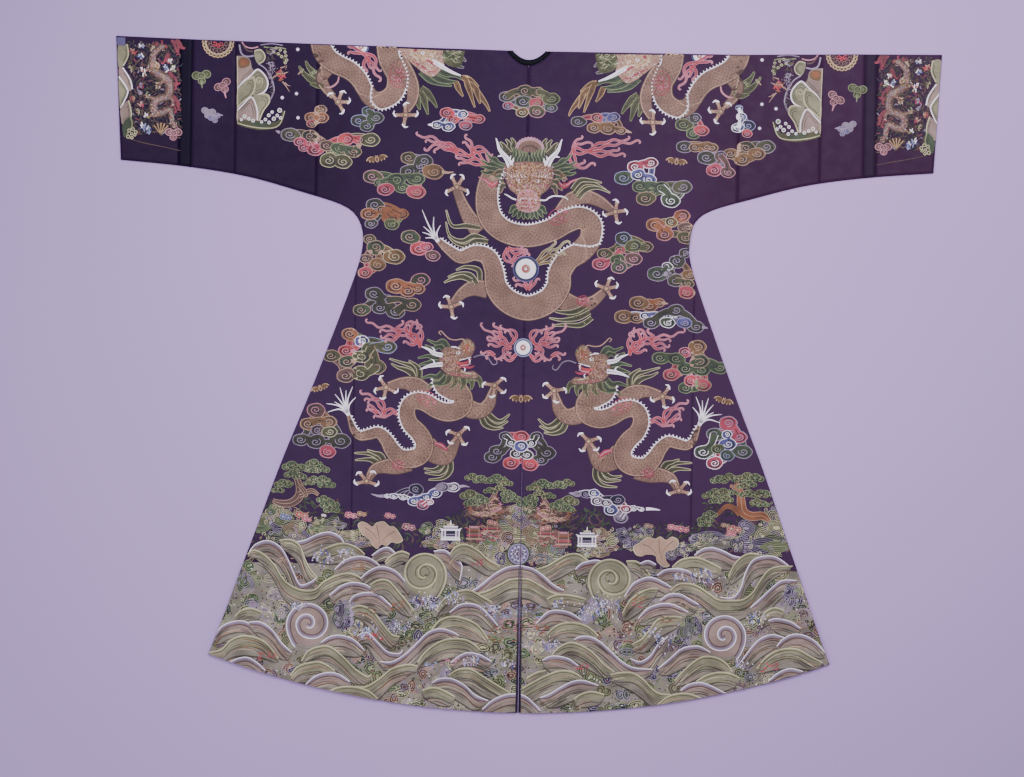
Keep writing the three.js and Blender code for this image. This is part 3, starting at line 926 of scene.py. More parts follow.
def cloud(lobes):
    # Lobes are x, drop, radius and floss. Those of one floss run together inside one pale line.
    middle = np.mean([(x, drop) for x, drop, *_ in lobes], axis=0)
    necks, kinds = [], {}
    for k, (x, drop, r, fill, *line) in enumerate(lobes):
        rim = line[0] if line else lobeLines[fill]
        kinds.setdefault((fill, rim), []).append((x, drop, r))
        near = sorted(lobes[:k], key=lambda other: math.hypot(other[0] - x, other[1] - drop))[:2]
        for x2, drop2, r2, fill2, *_ in near:
            if math.hypot(x2 - x, drop2 - drop) < 60:
                bow = ((x + x2) / 2 + (drop - drop2) * 0.12, (drop + drop2) / 2 + (x2 - x) * 0.12)
                wide = min(r, r2)
                necks.append((fill, rim, [(x, drop), bow, (x2, drop2)], np.array([1.1, 0.85, 1.1]) * wide,
                              fill == fill2))
    for fill, rim, path, wide, joined in necks:
        if not joined:
            sheet.band(rim, path, wide, 4)
            sheet.band(fill, path, wide - 2.4, 4)
            sheet.band("shade", path, 1.8, 4)
    for (fill, rim), group in kinds.items():
        joins = [(p, w) for a, b, p, w, j in necks if j and (a, b) == (fill, rim)]
        facing = [math.degrees(math.atan2(middle[1] - drop, x - middle[0])) for x, drop, _ in group]
        for colour, spare in ((rim, 0.0), (fill, 1.3)):
            for path, wide in joins:
                sheet.band(colour, path, wide - 2 * spare, 4)
            for (x, drop, r), away in zip(group, facing):
                lobeRing(Pen(x, drop), colour, 0, 0, r * 1.04, spare, 0.74, away)
        for path, _ in joins:
            sheet.band("shade", path[:2], 1.8, 3)
        for (x, drop, r), away in zip(group, facing):
            lobeScroll(Pen(x, drop), 0, 0, r, rim, away + 180, 1 if x > middle[0] else -1, 0.74)


def pearl(pen, r, halo="blue"):
    pen.disc(halo, 0, 0, r * 1.32, corners=26)
    pen.disc("navy", 0, 0, r * 1.32 - 2.2, corners=26)
    pen.disc("paleBlue", 0, 0, r * 1.05, corners=26)
    pen.disc("white", 0, 0, r, corners=26)
    pen.disc("tan", 0, 0, r * 0.44, corners=18)
    pen.curl("red", 0, 0, r * 0.42, 1.2, 80, 1, r * 0.13)
    pen.disc("white", 0, 0, r * 0.13, corners=9)


def bat(pen, fill="ochre", line="goldLight"):
    # Spread wings with scalloped edges, a small body and two ears.
    wing = [(2, 3), (7, 8), (14, 10), (22, 7), (26, 1), (20, 2), (18, -4), (13, -1), (10, -6), (6, -2),
            (2, -4)]
    for flip in (1, -1):
        half = pen.inside(0, 0, flip=flip)
        half.patch(line, np.array(wing) * 1.12, 3)
        half.patch(fill, wing, 3)
        half.band("goldDark", [(5, 3), (12, 5), (20, 3)], 1.0, 3)
        half.band("goldDark", [(5, 0), (10, 0), (14, 2)], 1.0, 3)
        half.band(line, [(1, 7), (3, 12)], [3, 1])
    pen.disc(line, 0, 1, 4.6, 8)
    pen.disc("brown", 0, 1, 3, 6)
    pen.disc("red", 0, 6, 1.6, corners=8)


# Draws straight on the garment: x across, drop down from the fold.
sheet = Pen(matrix=np.eye(2))


def freckles(pen, outline, colours, pitch, size=0.8, seed=1):
    # Knots all over part of a face, in turn from a few colours.
    rng = random.Random(seed)
    for spot in scatter(outline, pitch, rng):
        pen.mark("knots", rng.choice(colours), [spot], 0, size)


def frontHead(pen):
    # A horned head seen from the front: crown, mane, brow, eyes, muzzle and beard, alike on both sides.
    for flip in (1, -1):
        half = pen.inside(0, 0, flip=flip)
        tuft(half, [[(34, 69), (41, 79), (42, 87), (49, 96)], [(40, 65), (50, 74), (54, 83), (62, 90)],
                    [(26, 69), (32, 81), (32, 90), (38, 99)]], "olive", "cream", 8)
        tuft(half, [[(50, 38), (65, 43), (72, 53), (80, 55), (90, 67)],
                    [(53, 33), (66, 36), (77, 43), (86, 43), (101, 51)],
                    [(56, 25), (69, 30), (80, 33), (89, 36), (102, 38)],
                    [(57, 20), (70, 20), (80, 25), (90, 24), (101, 28)]],
             "green", "paleGreen", 8)
        tuft(half, [[(53, 28), (65, 26), (72, 20), (80, 20)], [(52, 9), (62, 6), (66, -4), (73, -11)],
                    [(48, -2), (56, -4), (58, -14), (62, -20)]], "olive", "tan", 6)
        half.band("rose", [(65, 6), (73, -2), (82, 0), (90, 8), (106, 15)], [4, 9, 8, 6, 1.5], 5)
        half.band("pink", [(66, 6), (74, 0), (83, 2), (93, 9), (106, 15)], [1.5, 2.4, 2.4, 2, 1], 5)
        half.curl("red", 77, 0, 5, 1.3, 40, 1, 2)
        half.curl("tan", 76, 12, 6, 1.3, 0, 1, 2.2)
        half.curl("ochre", 72, 20, 6, 1.2, 0, 1, 2.4)
    pen.disc("pink", 2, 76, 29, 23)
    pen.disc("tan", 2, 76, 28, 22)
    pen.disc("gold", 2, 74, 26, 20)
    pen.disc("brown", 2, 70, 19, 15)
    pen.disc("gold", 2, 68, 17, 13)
    for a in range(6, 178, 13):
        spot = wedge(a, 28) * (1, 0.8) + (2, 76)
        pen.disc("pink", *spot, 3.6, corners=9)
        pen.disc("lilac", *spot, 2, corners=8)
    for x in (-14, -7, 0, 7, 14):
        pen.band("brown", [(x * 1.1 + 2, 90 - abs(x) * 0.5), (x + 2, 80), (x * 0.8 + 2, 68)], [0.8, 1.4, 1])
    for flip in (1, -1):
        half = pen.inside(0, 0, flip=flip)
        tuft(half, [[(32, 41), (34, 55), (30, 65), (34, 79)], [(25, 41), (26, 55), (23, 63), (26, 78)],
                    [(19, 41), (19, 54), (15, 61), (19, 74)], [(12, 41), (12, 54), (9, 61), (11, 71)],
                    [(5, 41), (5, 54), (3, 59), (4, 69)]], "green", "paleGreen", 6)
    pen.disc("shade", 1.5, 66, 3, 4.5)
    face = [(-54, 38), (-49, 43), (-34, 47), (0, 49), (34, 47), (49, 43), (55, 38), (56, 21), (52, 4),
            (42, -11), (29, -21), (28, -33), (30, -47), (21, -57), (0, -60), (-21, -57), (-28, -47),
            (-25, -33), (-26, -21), (-40, -11), (-48, 4), (-53, 21)]
    face = np.array(face) * (0.94, 1)
    pen.patch("brown", face * 1.03, 4)
    pen.patch("gold", face, 4)
    freckles(pen, [tuple(spot) for spot in face * 0.94], ("tan", "goldLight", "tan", "orange", "goldLight",
                                                          "pink"), 3.7, 1.35, 11)
    for flip in (1, -1):
        half = pen.inside(0, 0, flip=flip)
        half.patch("gold", [(34, 38), (50, 41), (52, 28), (48, 12), (40, -4), (34, 6), (37, 22)], 3)
        half.band("rose", [(34, 38), (37, 22), (34, 6), (40, -7)], [2, 3, 3, 1.4], 4)
        half.band("brown", [(45, 33), (48, 17), (41, -2)], [1, 1.6, 1], 4)
    pen.patch("gold", [(-44, 38), (-32, 45), (0, 47), (32, 45), (44, 38), (42, 25), (28, 17), (8, 20),
                       (0, 15), (-8, 20), (-28, 17), (-42, 25)], 3)
    freckles(pen, [(-42, 39), (-24, 45), (26, 45), (44, 38), (41, 22), (0, 16), (-41, 22)],
             ("orange", "ochre", "orange", "goldLight", "tan"),
             3.3, 1.25, 3)
    freckles(pen, [(34, 38), (53, 41), (55, 28), (52, 12), (41, -7), (34, 6)],
             ("white", "pink", "tan", "rose"), 4.4, 0.9, 12)
    freckles(pen, [(-53, 38), (-34, 38), (-34, 6), (-41, -7), (-52, 12)], ("white", "pink", "tan", "rose"),
             4.4, 0.9, 13)
    for flip in (1, -1):
        half = pen.inside(0, 0, flip=flip)
        half.band("goldLight", [(3, 38), (13, 39), (26, 38), (33, 32)], [2, 2.6, 2.6, 1.2], 4)
        half.band("goldLight", [(4, 28), (13, 32), (24, 30), (32, 24)], [2, 2.6, 2.6, 1.2], 4)
        half.curl("cream", 11, 32, 5, 1.3, 180, 1, 1.5)
        half.band("goldDark", [(5, 14), (13, 18), (26, 17), (37, 11)], [1.2, 2.4, 2.2, 1], 4)
        half.band("goldLight", [(5, 16), (13, 20), (26, 19), (36, 14)], [1.4, 2.4, 2.2, 1], 4)
        half.disc("goldDark", 19, 8, 9.4, 6.8, 12, 16)
        half.disc("ochre", 19, 8, 8, 5.6, 12, 16)
        half.disc("rose", 19, 8, 6.4, 4.4, 12, 14)
        half.disc("white", 19, 8, 5, 3.6, 12, 12)
        half.disc("shade", 17, 8, 2.5, corners=10)
        for start, reach in ((850, 30), (905, 34), (960, 36), (1020, 36), (1075, 30)):
            half.band("white", [((start - 800) * 0.13, 16), ((start - 780) * 0.13, 21),
                                ((start - 730) * 0.15, reach - 4)],
                      [2.6, 2, 0.7], 3)
        for cx, cy, r in ((30, -2, 5.5), (22, -12, 5), (12, -4, 4), (34, 8, 4), (14, 7, 3.4)):
            half.curl("ochre", cx, cy, r, 1.3, 40 * cx, 1, 1.7)
            half.curl("goldLight", cx + 0.5, cy, r * 0.7, 1.1, 30 * cx, 1, 1.2)
    freckles(pen, [(-34, 6), (-24, 0), (0, -2), (24, 0), (34, 6), (33, -7), (21, -17), (0, -12), (-21, -17),
                   (-33, -7)],
             ("white", "pink", "cream", "pink", "rose"), 4.4, 0.95, 7)
    freckles(pen, [(-26, 14), (-8, 14), (-5, 9), (-24, 6)], ("white", "pink", "tan"), 4, 0.8, 8)
    freckles(pen, [(8, 14), (26, 14), (24, 8), (8, 8)], ("white", "pink", "tan"), 4, 0.8, 9)
    pen.patch("pink", [(-13, -15), (-8, -11), (0, -9), (8, -11), (13, -15), (21, -21), (23, -33), (26, -47),
                       (17, -57), (0, -59), (-17, -57), (-26, -47), (-23, -33), (-21, -21)], 3)
    for flip in (1, -1):
        half = pen.inside(0, 0, flip=flip)
        half.disc("rose", 8, -18, 5.4, 4)
        half.disc("pink", 8, -17, 3.6, 2.4)
        half.disc("brown", 9, -19, 1.7, 1.2, corners=9)
        half.band("rose", [(1, -25), (11, -24), (20, -28)], [1.4, 3, 1.6], 4)
        half.band("white", [(2, -30), (9, -29), (17, -31)], [1.2, 2, 1], 4)
        half.band("rose", [(1, -35), (9, -33), (20, -35), (25, -40)], [2, 3.2, 3, 1.2], 4)
        half.band("white", [(16, -31), (17, -35), (17, -39)], [2.4, 2, 0.6])
        half.band("red", [(1, -42), (9, -41), (19, -43)], [2.4, 3, 1.4], 4)
        half.band("rose", [(1, -50), (9, -49), (19, -47)], [2.2, 3, 1.2], 4)
        half.band("tan", [(1, -53), (9, -53), (17, -51)], [1.4, 2, 1], 4)
        tuft(half, [[(25, -47), (32, -49), (36, -57), (41, -60)],
                    [(20, -55), (26, -57), (29, -64), (34, -68)],
                    [(13, -57), (17, -61), (19, -68), (23, -72)], [(7, -58), (9, -63), (8, -69), (11, -73)],
                    [(1, -59), (2, -64), (0, -69), (1, -73)]], "green", "paleGreen", 6)
    freckles(pen, [(-21, -21), (21, -21), (24, -51), (-24, -51)], ("white", "rose", "pink", "cream"), 5.4,
             0.8, 11)
    pen.band("goldLight", [(0, 46), (0, 33), (0, 14)], [2, 2.6, 1.2])
    pen.band("white", [(25, -32), (37, -32), (44, -27), (53, -23), (66, -23), (78, -25), (85, -31)],
             [3, 3, 3.2, 3, 3, 2.4, 1.2], 5)
    pen.band("white", [(-25, -32), (-34, -29), (-42, -24), (-50, -20)], [3, 3, 2.6, 1], 5)
    for flip in (1, -1):
        half = pen.inside(0, 0, flip=flip)
        horn = [(38, 38), (45, 53), (53, 63), (62, 74), (66, 86), (70, 98)]
        half.band("navy", horn, [17, 15, 12, 9, 6, 2.5], 6)
        half.band("white", [(53, 62), (58, 61), (66, 59)], [6, 5, 1], 5)
        half.band("white", [(41, 43), (34, 49), (32, 57)], [6, 5, 1], 5)
        half.band("white", [(44, 50), (40, 54), (38, 62)], [5, 4, 1], 5)
        half.band("white", horn, [14, 12, 9.5, 7, 4.6, 1.4], 6)
        half.band("lilac", [(40, 41), (46, 54), (56, 65), (62, 75)], [2.4, 2, 1.6, 0.8], 6)


def sideHead(pen):
    # The same kind of head from the side, looking right and up, its mouth open.
    tuft(pen, [[(-19, 19), (-34, 34), (-46, 27), (-65, 34)], [(-15, 27), (-27, 42), (-42, 38), (-61, 46)],
               [(-27, 8), (-46, 6), (-57, 11), (-80, 6)], [(-27, -4), (-46, -2), (-61, -4), (-77, -8)],
               [(-27, -23), (-38, -34), (-54, -31), (-73, -38)],
               [(-19, -31), (-31, -46), (-46, -46), (-57, -54)]], "green", "paleGreen", 7.5)
    tuft(pen, [[(0, -31), (0, -46), (-11, -57)], [(15, -31), (19, -46), (11, -61)],
               [(27, -31), (36, -44), (34, -59)], [(38, -29), (52, -38), (54, -54)],
               [(-11, -27), (-15, -42), (-27, -50)]], "olive", "paleGreen", 8)
    outline = [(-31, 15), (-25, 27), (-11, 31), (0, 29), (8, 34), (15, 44), (25, 48), (34, 42), (40, 31),
               (36, 17), (31, 10), (19, 6), (10, 2), (4, -6), (10, -15), (23, -21), (38, -19), (48, -27),
               (42, -34), (23, -33), (4, -31), (-15, -27), (-29, -15), (-34, 0)]
    middle = np.mean(outline, axis=0)
    pen.patch("brown", middle + (np.array(outline) - middle) * 1.05, 3)
    pen.patch("gold", outline, 3)
    freckles(pen, outline, ("goldLight", "tan", "orange", "tan", "cream"), 4.6, 1.0, 9)
    pen.patch("gold", [(-28, 11), (-15, 23), (0, 21), (6, 11), (0, -2), (4, -15), (-8, -22), (-21, -15),
                       (-29, -2)], 3)
    freckles(pen, [(-29, 11), (-15, 25), (6, 21), (4, 0), (19, -19), (-8, -24), (-23, -15)],
             ("goldLight", "orange", "tan", "ochre", "pink"),
             3.8, 1.1, 5)
    pen.patch("orange", [(17, 38), (25, 43), (32, 38), (34, 28), (28, 18), (20, 15), (15, 25)], 3)
    freckles(pen, [(17, 42), (33, 40), (36, 27), (29, 15), (17, 15)], ("white", "tan", "rose", "goldLight"),
             4.4, 0.8, 6)
    pen.curl("brown", 29, 25, 4, 1.1, 20, 1, 1.3)
    for a in (30, 62, 94):
        pen.band("paleGreen", [tuple(wedge(a, 11) + (24, 27)), tuple(wedge(a + 8, 18) + (24, 28))], [3, 0.8])
    pen.band("red", [(0, 0), (10, -4), (23, -2), (34, 6)], [3, 7, 6, 2], 4)
    pen.band("rose", [(4, -12), (19, -10), (31, -12), (40, -8)], [2, 6, 5, 2], 4)
    pen.band("pink", [(10, -8), (23, -7), (33, -4)], [1.6, 3, 1.4], 4)
    pen.band("white", [(8, 3), (19, 6), (33, 10)], [1.4, 2.2, 1.2], 3)
    pen.band("white", [(29, 7), (31, 1), (29, -4)], [3, 2.4, 0.8])
    pen.band("white", [(19, -21), (21, -15), (18, -12)], [3, 2.4, 0.8])
    pen.band("cream", [(10, -19), (23, -24), (42, -25)], [1.4, 2.2, 1], 3)
    pen.band("rose", [(-11, -25), (8, -28), (31, -30)], [1.4, 2.6, 1.2], 3)
    pen.band("goldDark", [(-6, 25), (4, 27), (12, 22)], [1, 2.4, 1.4], 4)
    pen.band("white", [(-10, 31), (0, 31), (10, 27)], [2, 3, 1], 4)
    pen.disc("white", 5, 19, 5, 3.6, 20, 12)
    pen.disc("brown", 6, 20, 1.9, corners=9)
    pen.curl("goldLight", -18, 6, 6, 1.4, 100, 1, 1.8)
    pen.curl("pink", -13, -15, 6, 1.3, 60, 1, 1.7)
    pen.curl("rose", 25, 27, 4.4, 1.1, 20, 1, 1.5)
    for path in ([(-73, 31), (-57, 25), (-46, 17), (-27, 13)],
                 [(-75, -18), (-61, -12), (-46, -8), (-27, -6)]):
        pen.band("navy", path, [3, 8, 11, 12], 5)
        pen.band("white", path, [1, 5.5, 8.5, 10], 5)
        pen.band("white", [path[2], tuple(np.add(path[2], (1, 8))), tuple(np.add(path[2], (-5, 13)))],
                 [4, 3, 0.8], 3)
        pen.band("lilac", path[1:], [1, 1.6, 2], 5)
    pen.band("tan", [(19, 40), (15, 48), (0, 46), (-13, 48), (-23, 56), (-31, 64), (-36, 61), (-31, 56)],
             [2.6, 2.4, 2.4, 2.4, 2.2, 2, 1.8, 1.2], 6)
    pen.band("mauve", [(38, 10), (54, 15), (67, 11), (74, 2), (80, -5), (88, -2), (86, 6)],
             [2.6, 2.4, 2.4, 2.4, 2.2, 2, 1.2], 6)


def tailFan(pen, rays):
    # White hairs spreading from the end of the tail; pen points the way the tail ends.
    for turn, length in rays:
        pen.band("white", [(0, 0), wedge(turn * 0.6, length * 0.5), wedge(turn, length)], [4.2, 2.8, 0.8], 4)
    pen.disc("white", 3, 0, 5.4, 4.6)
    for turn, length in rays:
        pen.band("lilac", [wedge(turn * 0.3, 4), wedge(turn * 0.6, length * 0.35)], [1.2, 0.6])


def shoulderPatch(pen, x, y, rx, ry, turn):
    # The flushed joint of a leg: broken curls of rose over the scales.
    knot = pen.inside(x, y, turn=turn)
    t = np.linspace(0.5, 5.2, 22)
    knot.band("rose", np.stack([rx * np.cos(t), ry * np.sin(t)], -1), [1, 2.2, 2.2, 1])
    for cx, cy, r, start in ((-0.5, 0.1, 0.5, 0), (0.1, 0.4, 0.4, 90), (0.5, -0.1, 0.42, 200),
                             (-0.1, -0.45, 0.36, 300)):
        knot.curl("rose", cx * rx, cy * ry, r * ry, 1.4, start, 1, 2)
        knot.curl("pink", cx * rx, cy * ry, r * ry * 0.6, 0.8, start + 40, 1, 1.2)
    knot.mark("knots", "pink", [(rx * 0.7 * math.cos(a), ry * 0.7 * math.sin(a)) for a in range(0, 7)], 0,
              0.9)


# The shore above the sea: pines, knotted rocks, blossom and small pavilions.
def pineFan(pen, x, drop, r, fill="green", line="paleGreen"):
    # A pad of needles: three lobes with a pale rim and rays.
    r *= 1.16
    for dx, dy, k in ((-0.8, 0.12, 0.62), (0.8, 0.12, 0.62), (0, -0.12, 0.82)):
        cx, cy = x + dx * r, drop + dy * r
        pen.disc(line, cx, cy, k * r, k * r * 0.76, corners=12)
        pen.disc(fill, cx, cy, k * r - 1.2, k * r * 0.76 - 1.1, corners=12)
        for a in (-50, 0, 50):
            pen.band(line, [(cx, cy + 0.4 * k * r), (cx + math.sin(math.radians(a)) * k * r * 0.75,
                                                     cy - math.cos(math.radians(a)) * k * r * 0.55)],
                                                     [1.1, 0.7])
    rng = random.Random(int(x * 7 + drop))
    for colour, count in (("cream", 3), ("brown", 6), ("shade", 8), ("tan", 2)):
        pen.mark("knots", colour, [(x + rng.uniform(-1.1, 1.1) * r, drop + rng.uniform(-0.45, 0.55) * r)
                                   for _ in range(count)], 0, 0.9)


def trunk(pen, path, widths, fill, dark):
    pen.band(dark, path, np.asarray(widths, float) + 2.4, 5)
    pen.band(fill, path, widths, 5)
    pen.band(dark, path, [1.4, 0.9], 5)


def rockery(pen, x, drop, width, height, fills=("navy", "green"), lines=("lilac", "paleGreen"), seed=1,
            knots=6, step=1.8):
    # A weathered rock: knots of dark and pale outlines, one inside another.
    rng = random.Random(seed)
    for _ in range(knots):
        cx, cy = x + rng.uniform(-0.34, 0.34) * width, drop + rng.uniform(-0.3, 0.34) * height
        rx, ry = rng.uniform(0.2, 0.32) * width, rng.uniform(0.24, 0.4) * height
        ring = np.array([(rng.uniform(0.75, 1.15) * math.cos(a), rng.uniform(0.75, 1.15) * math.sin(a))
                         for a in np.linspace(0, 2 * math.pi, 11, endpoint=False)])
        line, fill = rng.choice(lines), rng.choice(fills)
        for k in range(9 if step < 2 else 5):
            inset = step * k if k % 2 == 0 else step * (k - 0.45)
            if min(rx, ry) > inset + 1:
                pen.patch(line if k % 2 == 0 else fill, np.array((cx, cy)) + ring * (rx - inset,
                    ry - inset), 2 if k < 3 else 1)
    for _ in range(knots * (3 if step < 2 else 1)):
        cx, cy = x + rng.uniform(-0.5, 0.5) * width, drop + rng.uniform(-0.5, 0.5) * height
        pen.curl(rng.choice(lines), cx, cy, rng.uniform(3, 6), 1, rng.uniform(0, 360), 1, 1.3)


def blossom(pen, x, drop, r, fill="rose", line="pink"):
    for k in range(5):
        a = math.radians(72 * k + 18)
        pen.disc(line, x + r * 0.6 * math.cos(a), drop + r * 0.5 * math.sin(a), r * 0.5, r * 0.42, corners=9)
        pen.disc(fill, x + r * 0.6 * math.cos(a), drop + r * 0.5 * math.sin(a), r * 0.32, r * 0.26, corners=8)
    pen.disc("cream", x, drop, r * 0.24, corners=7)


def lowPlant(pen, x, drop, r, colours=("rose", "pink"), seed=1):
    # A low plant: leaves to both sides and two blossoms.
    rng = random.Random(seed)
    for side in (-1, 1):
        for _ in range(3):
            tip = (x + side * r * rng.uniform(1.2, 2.2), drop + r * rng.uniform(-0.9, 0.6))
            pen.band(rng.choice(("green", "olive", "tan", "brown")), [(x, drop + r * 0.4), tip],
                     [3.4, 2.4, 0.8], 3)
    blossom(pen, x - r * 0.5, drop - r * 0.1, r * 0.8, *colours)
    blossom(pen, x + r * 0.6, drop + r * 0.1, r * 0.7, *colours)


def pavilion(pen, x, drop, width):
    # A little hall: steps, four posts, a rail and two roofs.
    w, h = width / 2, width * 0.98
    pen.patch("mauve", [(x - w, drop), (x + w, drop), (x + w, drop - h * 0.55), (x - w, drop - h * 0.55)])
    pen.patch("navy", [(x - w * 0.6, drop - 8), (x + w * 0.6, drop - 8), (x + w * 0.6, drop - h * 0.5),
                       (x - w * 0.6, drop - h * 0.5)])
    for k in (-1, -0.62, 0.62, 1):
        pen.band("white", [(x + k * w * 0.96, drop), (x + k * w * 0.96, drop - h * 0.6)], 2)
    for level, colour, thick, span in ((0.02, "white", 4, 1.08), (0.14, "white", 1.8, 0.9),
                                       (0.3, "lilac", 1.6, 0.6),
                                       (0.56, "white", 3.2, 1.1), (0.66, "lilac", 4, 0.8),
                                       (0.74, "white", 2.2, 0.8),
                                       (0.84, "cream", 3.6, 0.4)):
        pen.band(colour, [(x - w * span, drop - h * level), (x + w * span, drop - h * level)], thick)
    pen.band("white", [(x, drop - h * 0.84), (x, drop - h * 1.1)], [3, 1])
    for side in (-1, 1):
        pen.band("white", [(x + side * w * 0.9, drop - h * 0.58), (x + side * w * 1.25, drop - h * 0.66)],
                 [2.6, 1])


def terrace(pen, x, drop, width, height):
    for k, (colour, span) in enumerate((("tan", 1), ("brown", 0.9), ("rose", 0.95), ("gold", 0.8),
                                        ("brown", 0.75),
                                        ("orange", 0.7), ("gold", 0.65), ("pink", 0.5))):
        level = drop - height * k / 8
        pen.band(colour, [(x - width / 2 * span, level), (x + width / 2 * span, level)], height / 8 + 0.6)
    for side in (-0.6, 0.6):
        pen.band("tan", [(x + side * width / 2, drop), (x + side * width / 2, drop - height)], 1.2)


# Undergrowth, too close to tell apart.
for seed, (outline, pitch) in enumerate((([(-550, 960), (-470, 950), (-385, 957), (-368, 982), (-363, 999),
                                           (-362, 1059), (-595, 1067), (-583, 1020)], 11),
                                         ([(-363, 1003), (-316, 994), (-246, 1002), (-180, 1017),
                                           (-171, 1055), (-358, 1063)], 11),
                                         ([(-139, 974), (-88, 978), (82, 975), (158, 965), (192, 990),
                                           (185, 1058), (-180, 1064), (-172, 1005)], 9),
                                         ([(214, 1002), (284, 993), (379, 995), (380, 1050), (206, 1053)],
                                          11),
                                         ([(387, 953), (453, 943), (518, 951), (549, 993), (579, 1051),
                                           (359, 1055), (362, 1000)], 11))):
    flecks(sheet, outline, (("brown", 3), ("olive", 1), ("green", 4), ("shade", 9), ("oliveDark", 8)),
           pitch, 15, 4.2, seed + 60, 80)
for x, drop, width, height, seed in [
    (-552, 1000, 60, 44, 1), (-532, 1025, 95, 40, 2), (-494, 999, 70, 42, 3), (-512, 983, 50, 34, 4),
    (-475, 1027, 70, 42, 5), (-437, 1015, 90, 44, 6), (-412, 1011, 70, 32, 7),
    (-373, 1031, 80, 28, 8), (-356, 1042, 110, 22, 9)]:
    rockery(sheet, x, drop, width, height, ("shade", "olive", "green"),
            ("lilac", "cream", "paleGreen", "tan"), seed, 5)
for x, drop, width, height, seed in [
    (538, 976, 50, 60, 21), (502, 1010, 100, 46, 22), (534, 1014, 80, 60, 23),
    (513, 1038, 120, 44, 24), (412, 1029, 110, 30, 25), (460, 1036, 60, 34, 26),
    (382, 1027, 50, 26, 27), (359, 1044, 50, 20, 28), (327, 1058, 60, 20, 29),
    (259, 1019, 40, 40, 30), (233, 1023, 60, 30, 31), (242, 1046, 50, 26, 32)]:
    rockery(sheet, x, drop, width, height, ("navy", "olive", "shade"),
            ("lilac", "mauve", "cream", "paleGreen"),
            seed, 5)
for x, drop, width, height, seed in [
    (-2, 999, 90, 60, 41), (-28, 995, 60, 50, 42), (19, 994, 60, 50, 43), (-2, 1027, 150, 50, 44),
    (-51, 1031, 80, 50, 45), (45, 1029, 80, 50, 46), (-70, 1054, 70, 40, 47), (62, 1062, 70, 40, 48),
    (-41, 1070, 60, 46, 49), (34, 1072, 60, 46, 50), (-122, 1044, 60, 22, 51),
    (138, 1058, 60, 24, 52), (-178, 1042, 60, 24, 53), (168, 1053, 70, 26, 54),
    (-3, 978, 50, 36, 55), (-184, 1012, 60, 30, 56), (179, 1024, 50, 34, 57)]:
    rockery(sheet, x, drop, width, height, ("shade", "green", "olive", "brown"),
            ("paleGreen", "lilac", "cream", "tan"),
            seed, 6)
for side in (1, -1):
    middle = Pen(0 if side > 0 else -9, 0 if side > 0 else 9, flip=side, matrix=np.eye(2))
    flecks(middle, [(-122, 963), (-88, 948), (-46, 956), (-20, 977), (-49, 994), (-109, 991)],
           (("gold", 5), ("orange", 4), ("brown", 5), ("goldDark", 3)),
           5, 12, 3.6, 71, 30)
    flecks(middle, [(-117, 1012), (-87, 1003), (-49, 1011), (-44, 1036), (-108, 1042)],
           (("gold", 3), ("rose", 2), ("tan", 2), ("brown", 4)), 5, 10, 3, 72, 30)
# Pines at the sides and either side of the vent.
trunk(sheet, [(-477, 912), (-470, 933), (-472, 952), (-489, 965), (-510, 966), (-527, 960)],
      (9, 14, 17, 15, 12, 5), "brown", "tan")
trunk(sheet, [(-472, 948), (-455, 941), (-442, 939), (-430, 947)], (11, 9, 8, 4), "brown", "tan")
trunk(sheet, [(-472, 927), (-462, 937), (-455, 952)], (6, 8, 4), "goldDark", "tan")
trunk(sheet, [(454, 907), (463, 926), (465, 947), (470, 968), (487, 977), (512, 976), (525, 987)],
      (8, 12, 16, 18, 17, 15, 5),
      "orange", "tan")
trunk(sheet, [(464, 973), (449, 960), (432, 958), (411, 980)], (14, 11, 9, 4), "orange", "brown")
trunk(sheet, [(441, 912), (456, 918), (473, 907), (486, 902)], (4, 6, 6, 3), "orange", "tan")
for side in (1, -1):
    pine = Pen(0 if side > 0 else -9, 0 if side > 0 else 9, flip=side, matrix=np.eye(2))
    trunk(pine, [(-53, 932), (-62, 948), (-69, 963), (-62, 977), (-81, 982), (-104, 980)],
          (5, 7, 9, 10, 7, 4), "brown", "tan")
    trunk(pine, [(-43, 967), (-57, 974), (-71, 979)], (4, 7, 5), "gold", "pink")
    flecks(pine, [(-51, 936), (-43, 967), (-52, 983), (-80, 989), (-102, 984), (-71, 967), (-62, 948)],
           (("tan", 5), ("orange", 3), ("pink", 3), ("goldLight", 3), ("brown", 3)), 5, 9, 2.2, 77, 30)
    for x, drop, r in [
    (-105, 904, 9), (-86, 909, 10), (-53, 908, 12), (-35, 915, 9), (-109, 942, 12), (-90, 951, 12),
    (-104, 958, 10), (-20, 948, 12), (-29, 938, 9), (-67, 932, 8), (-48, 927, 8)]:
        pineFan(pine, x, drop, r * 1.15, random.Random(int(x)).choice(("green", "olive")))
    for x, drop, width, height in [
    (-99, 1034, 34, 28), (-61, 1017, 36, 22)]:
        terrace(pine, x, drop, width, height)
    pavilion(pine, -149, 1037, 38)
    lowPlant(pine, -61, 1000, 9, ("rose", "tan"), 3)
for x, drop, r in [
    (-488, 887, 13), (-467, 891, 11), (-441, 880, 11), (-426, 892, 12), (-441, 895, 9),
    (-485, 904, 12), (-471, 908, 10), (-506, 925, 12), (-517, 938, 9), (-441, 914, 9),
    (-422, 915, 11), (-413, 924, 12), (-419, 956, 10), (-406, 966, 13), (-402, 977, 11),
    (-496, 923, 8), (-451, 922, 8)]:
    pineFan(sheet, x, drop, r)
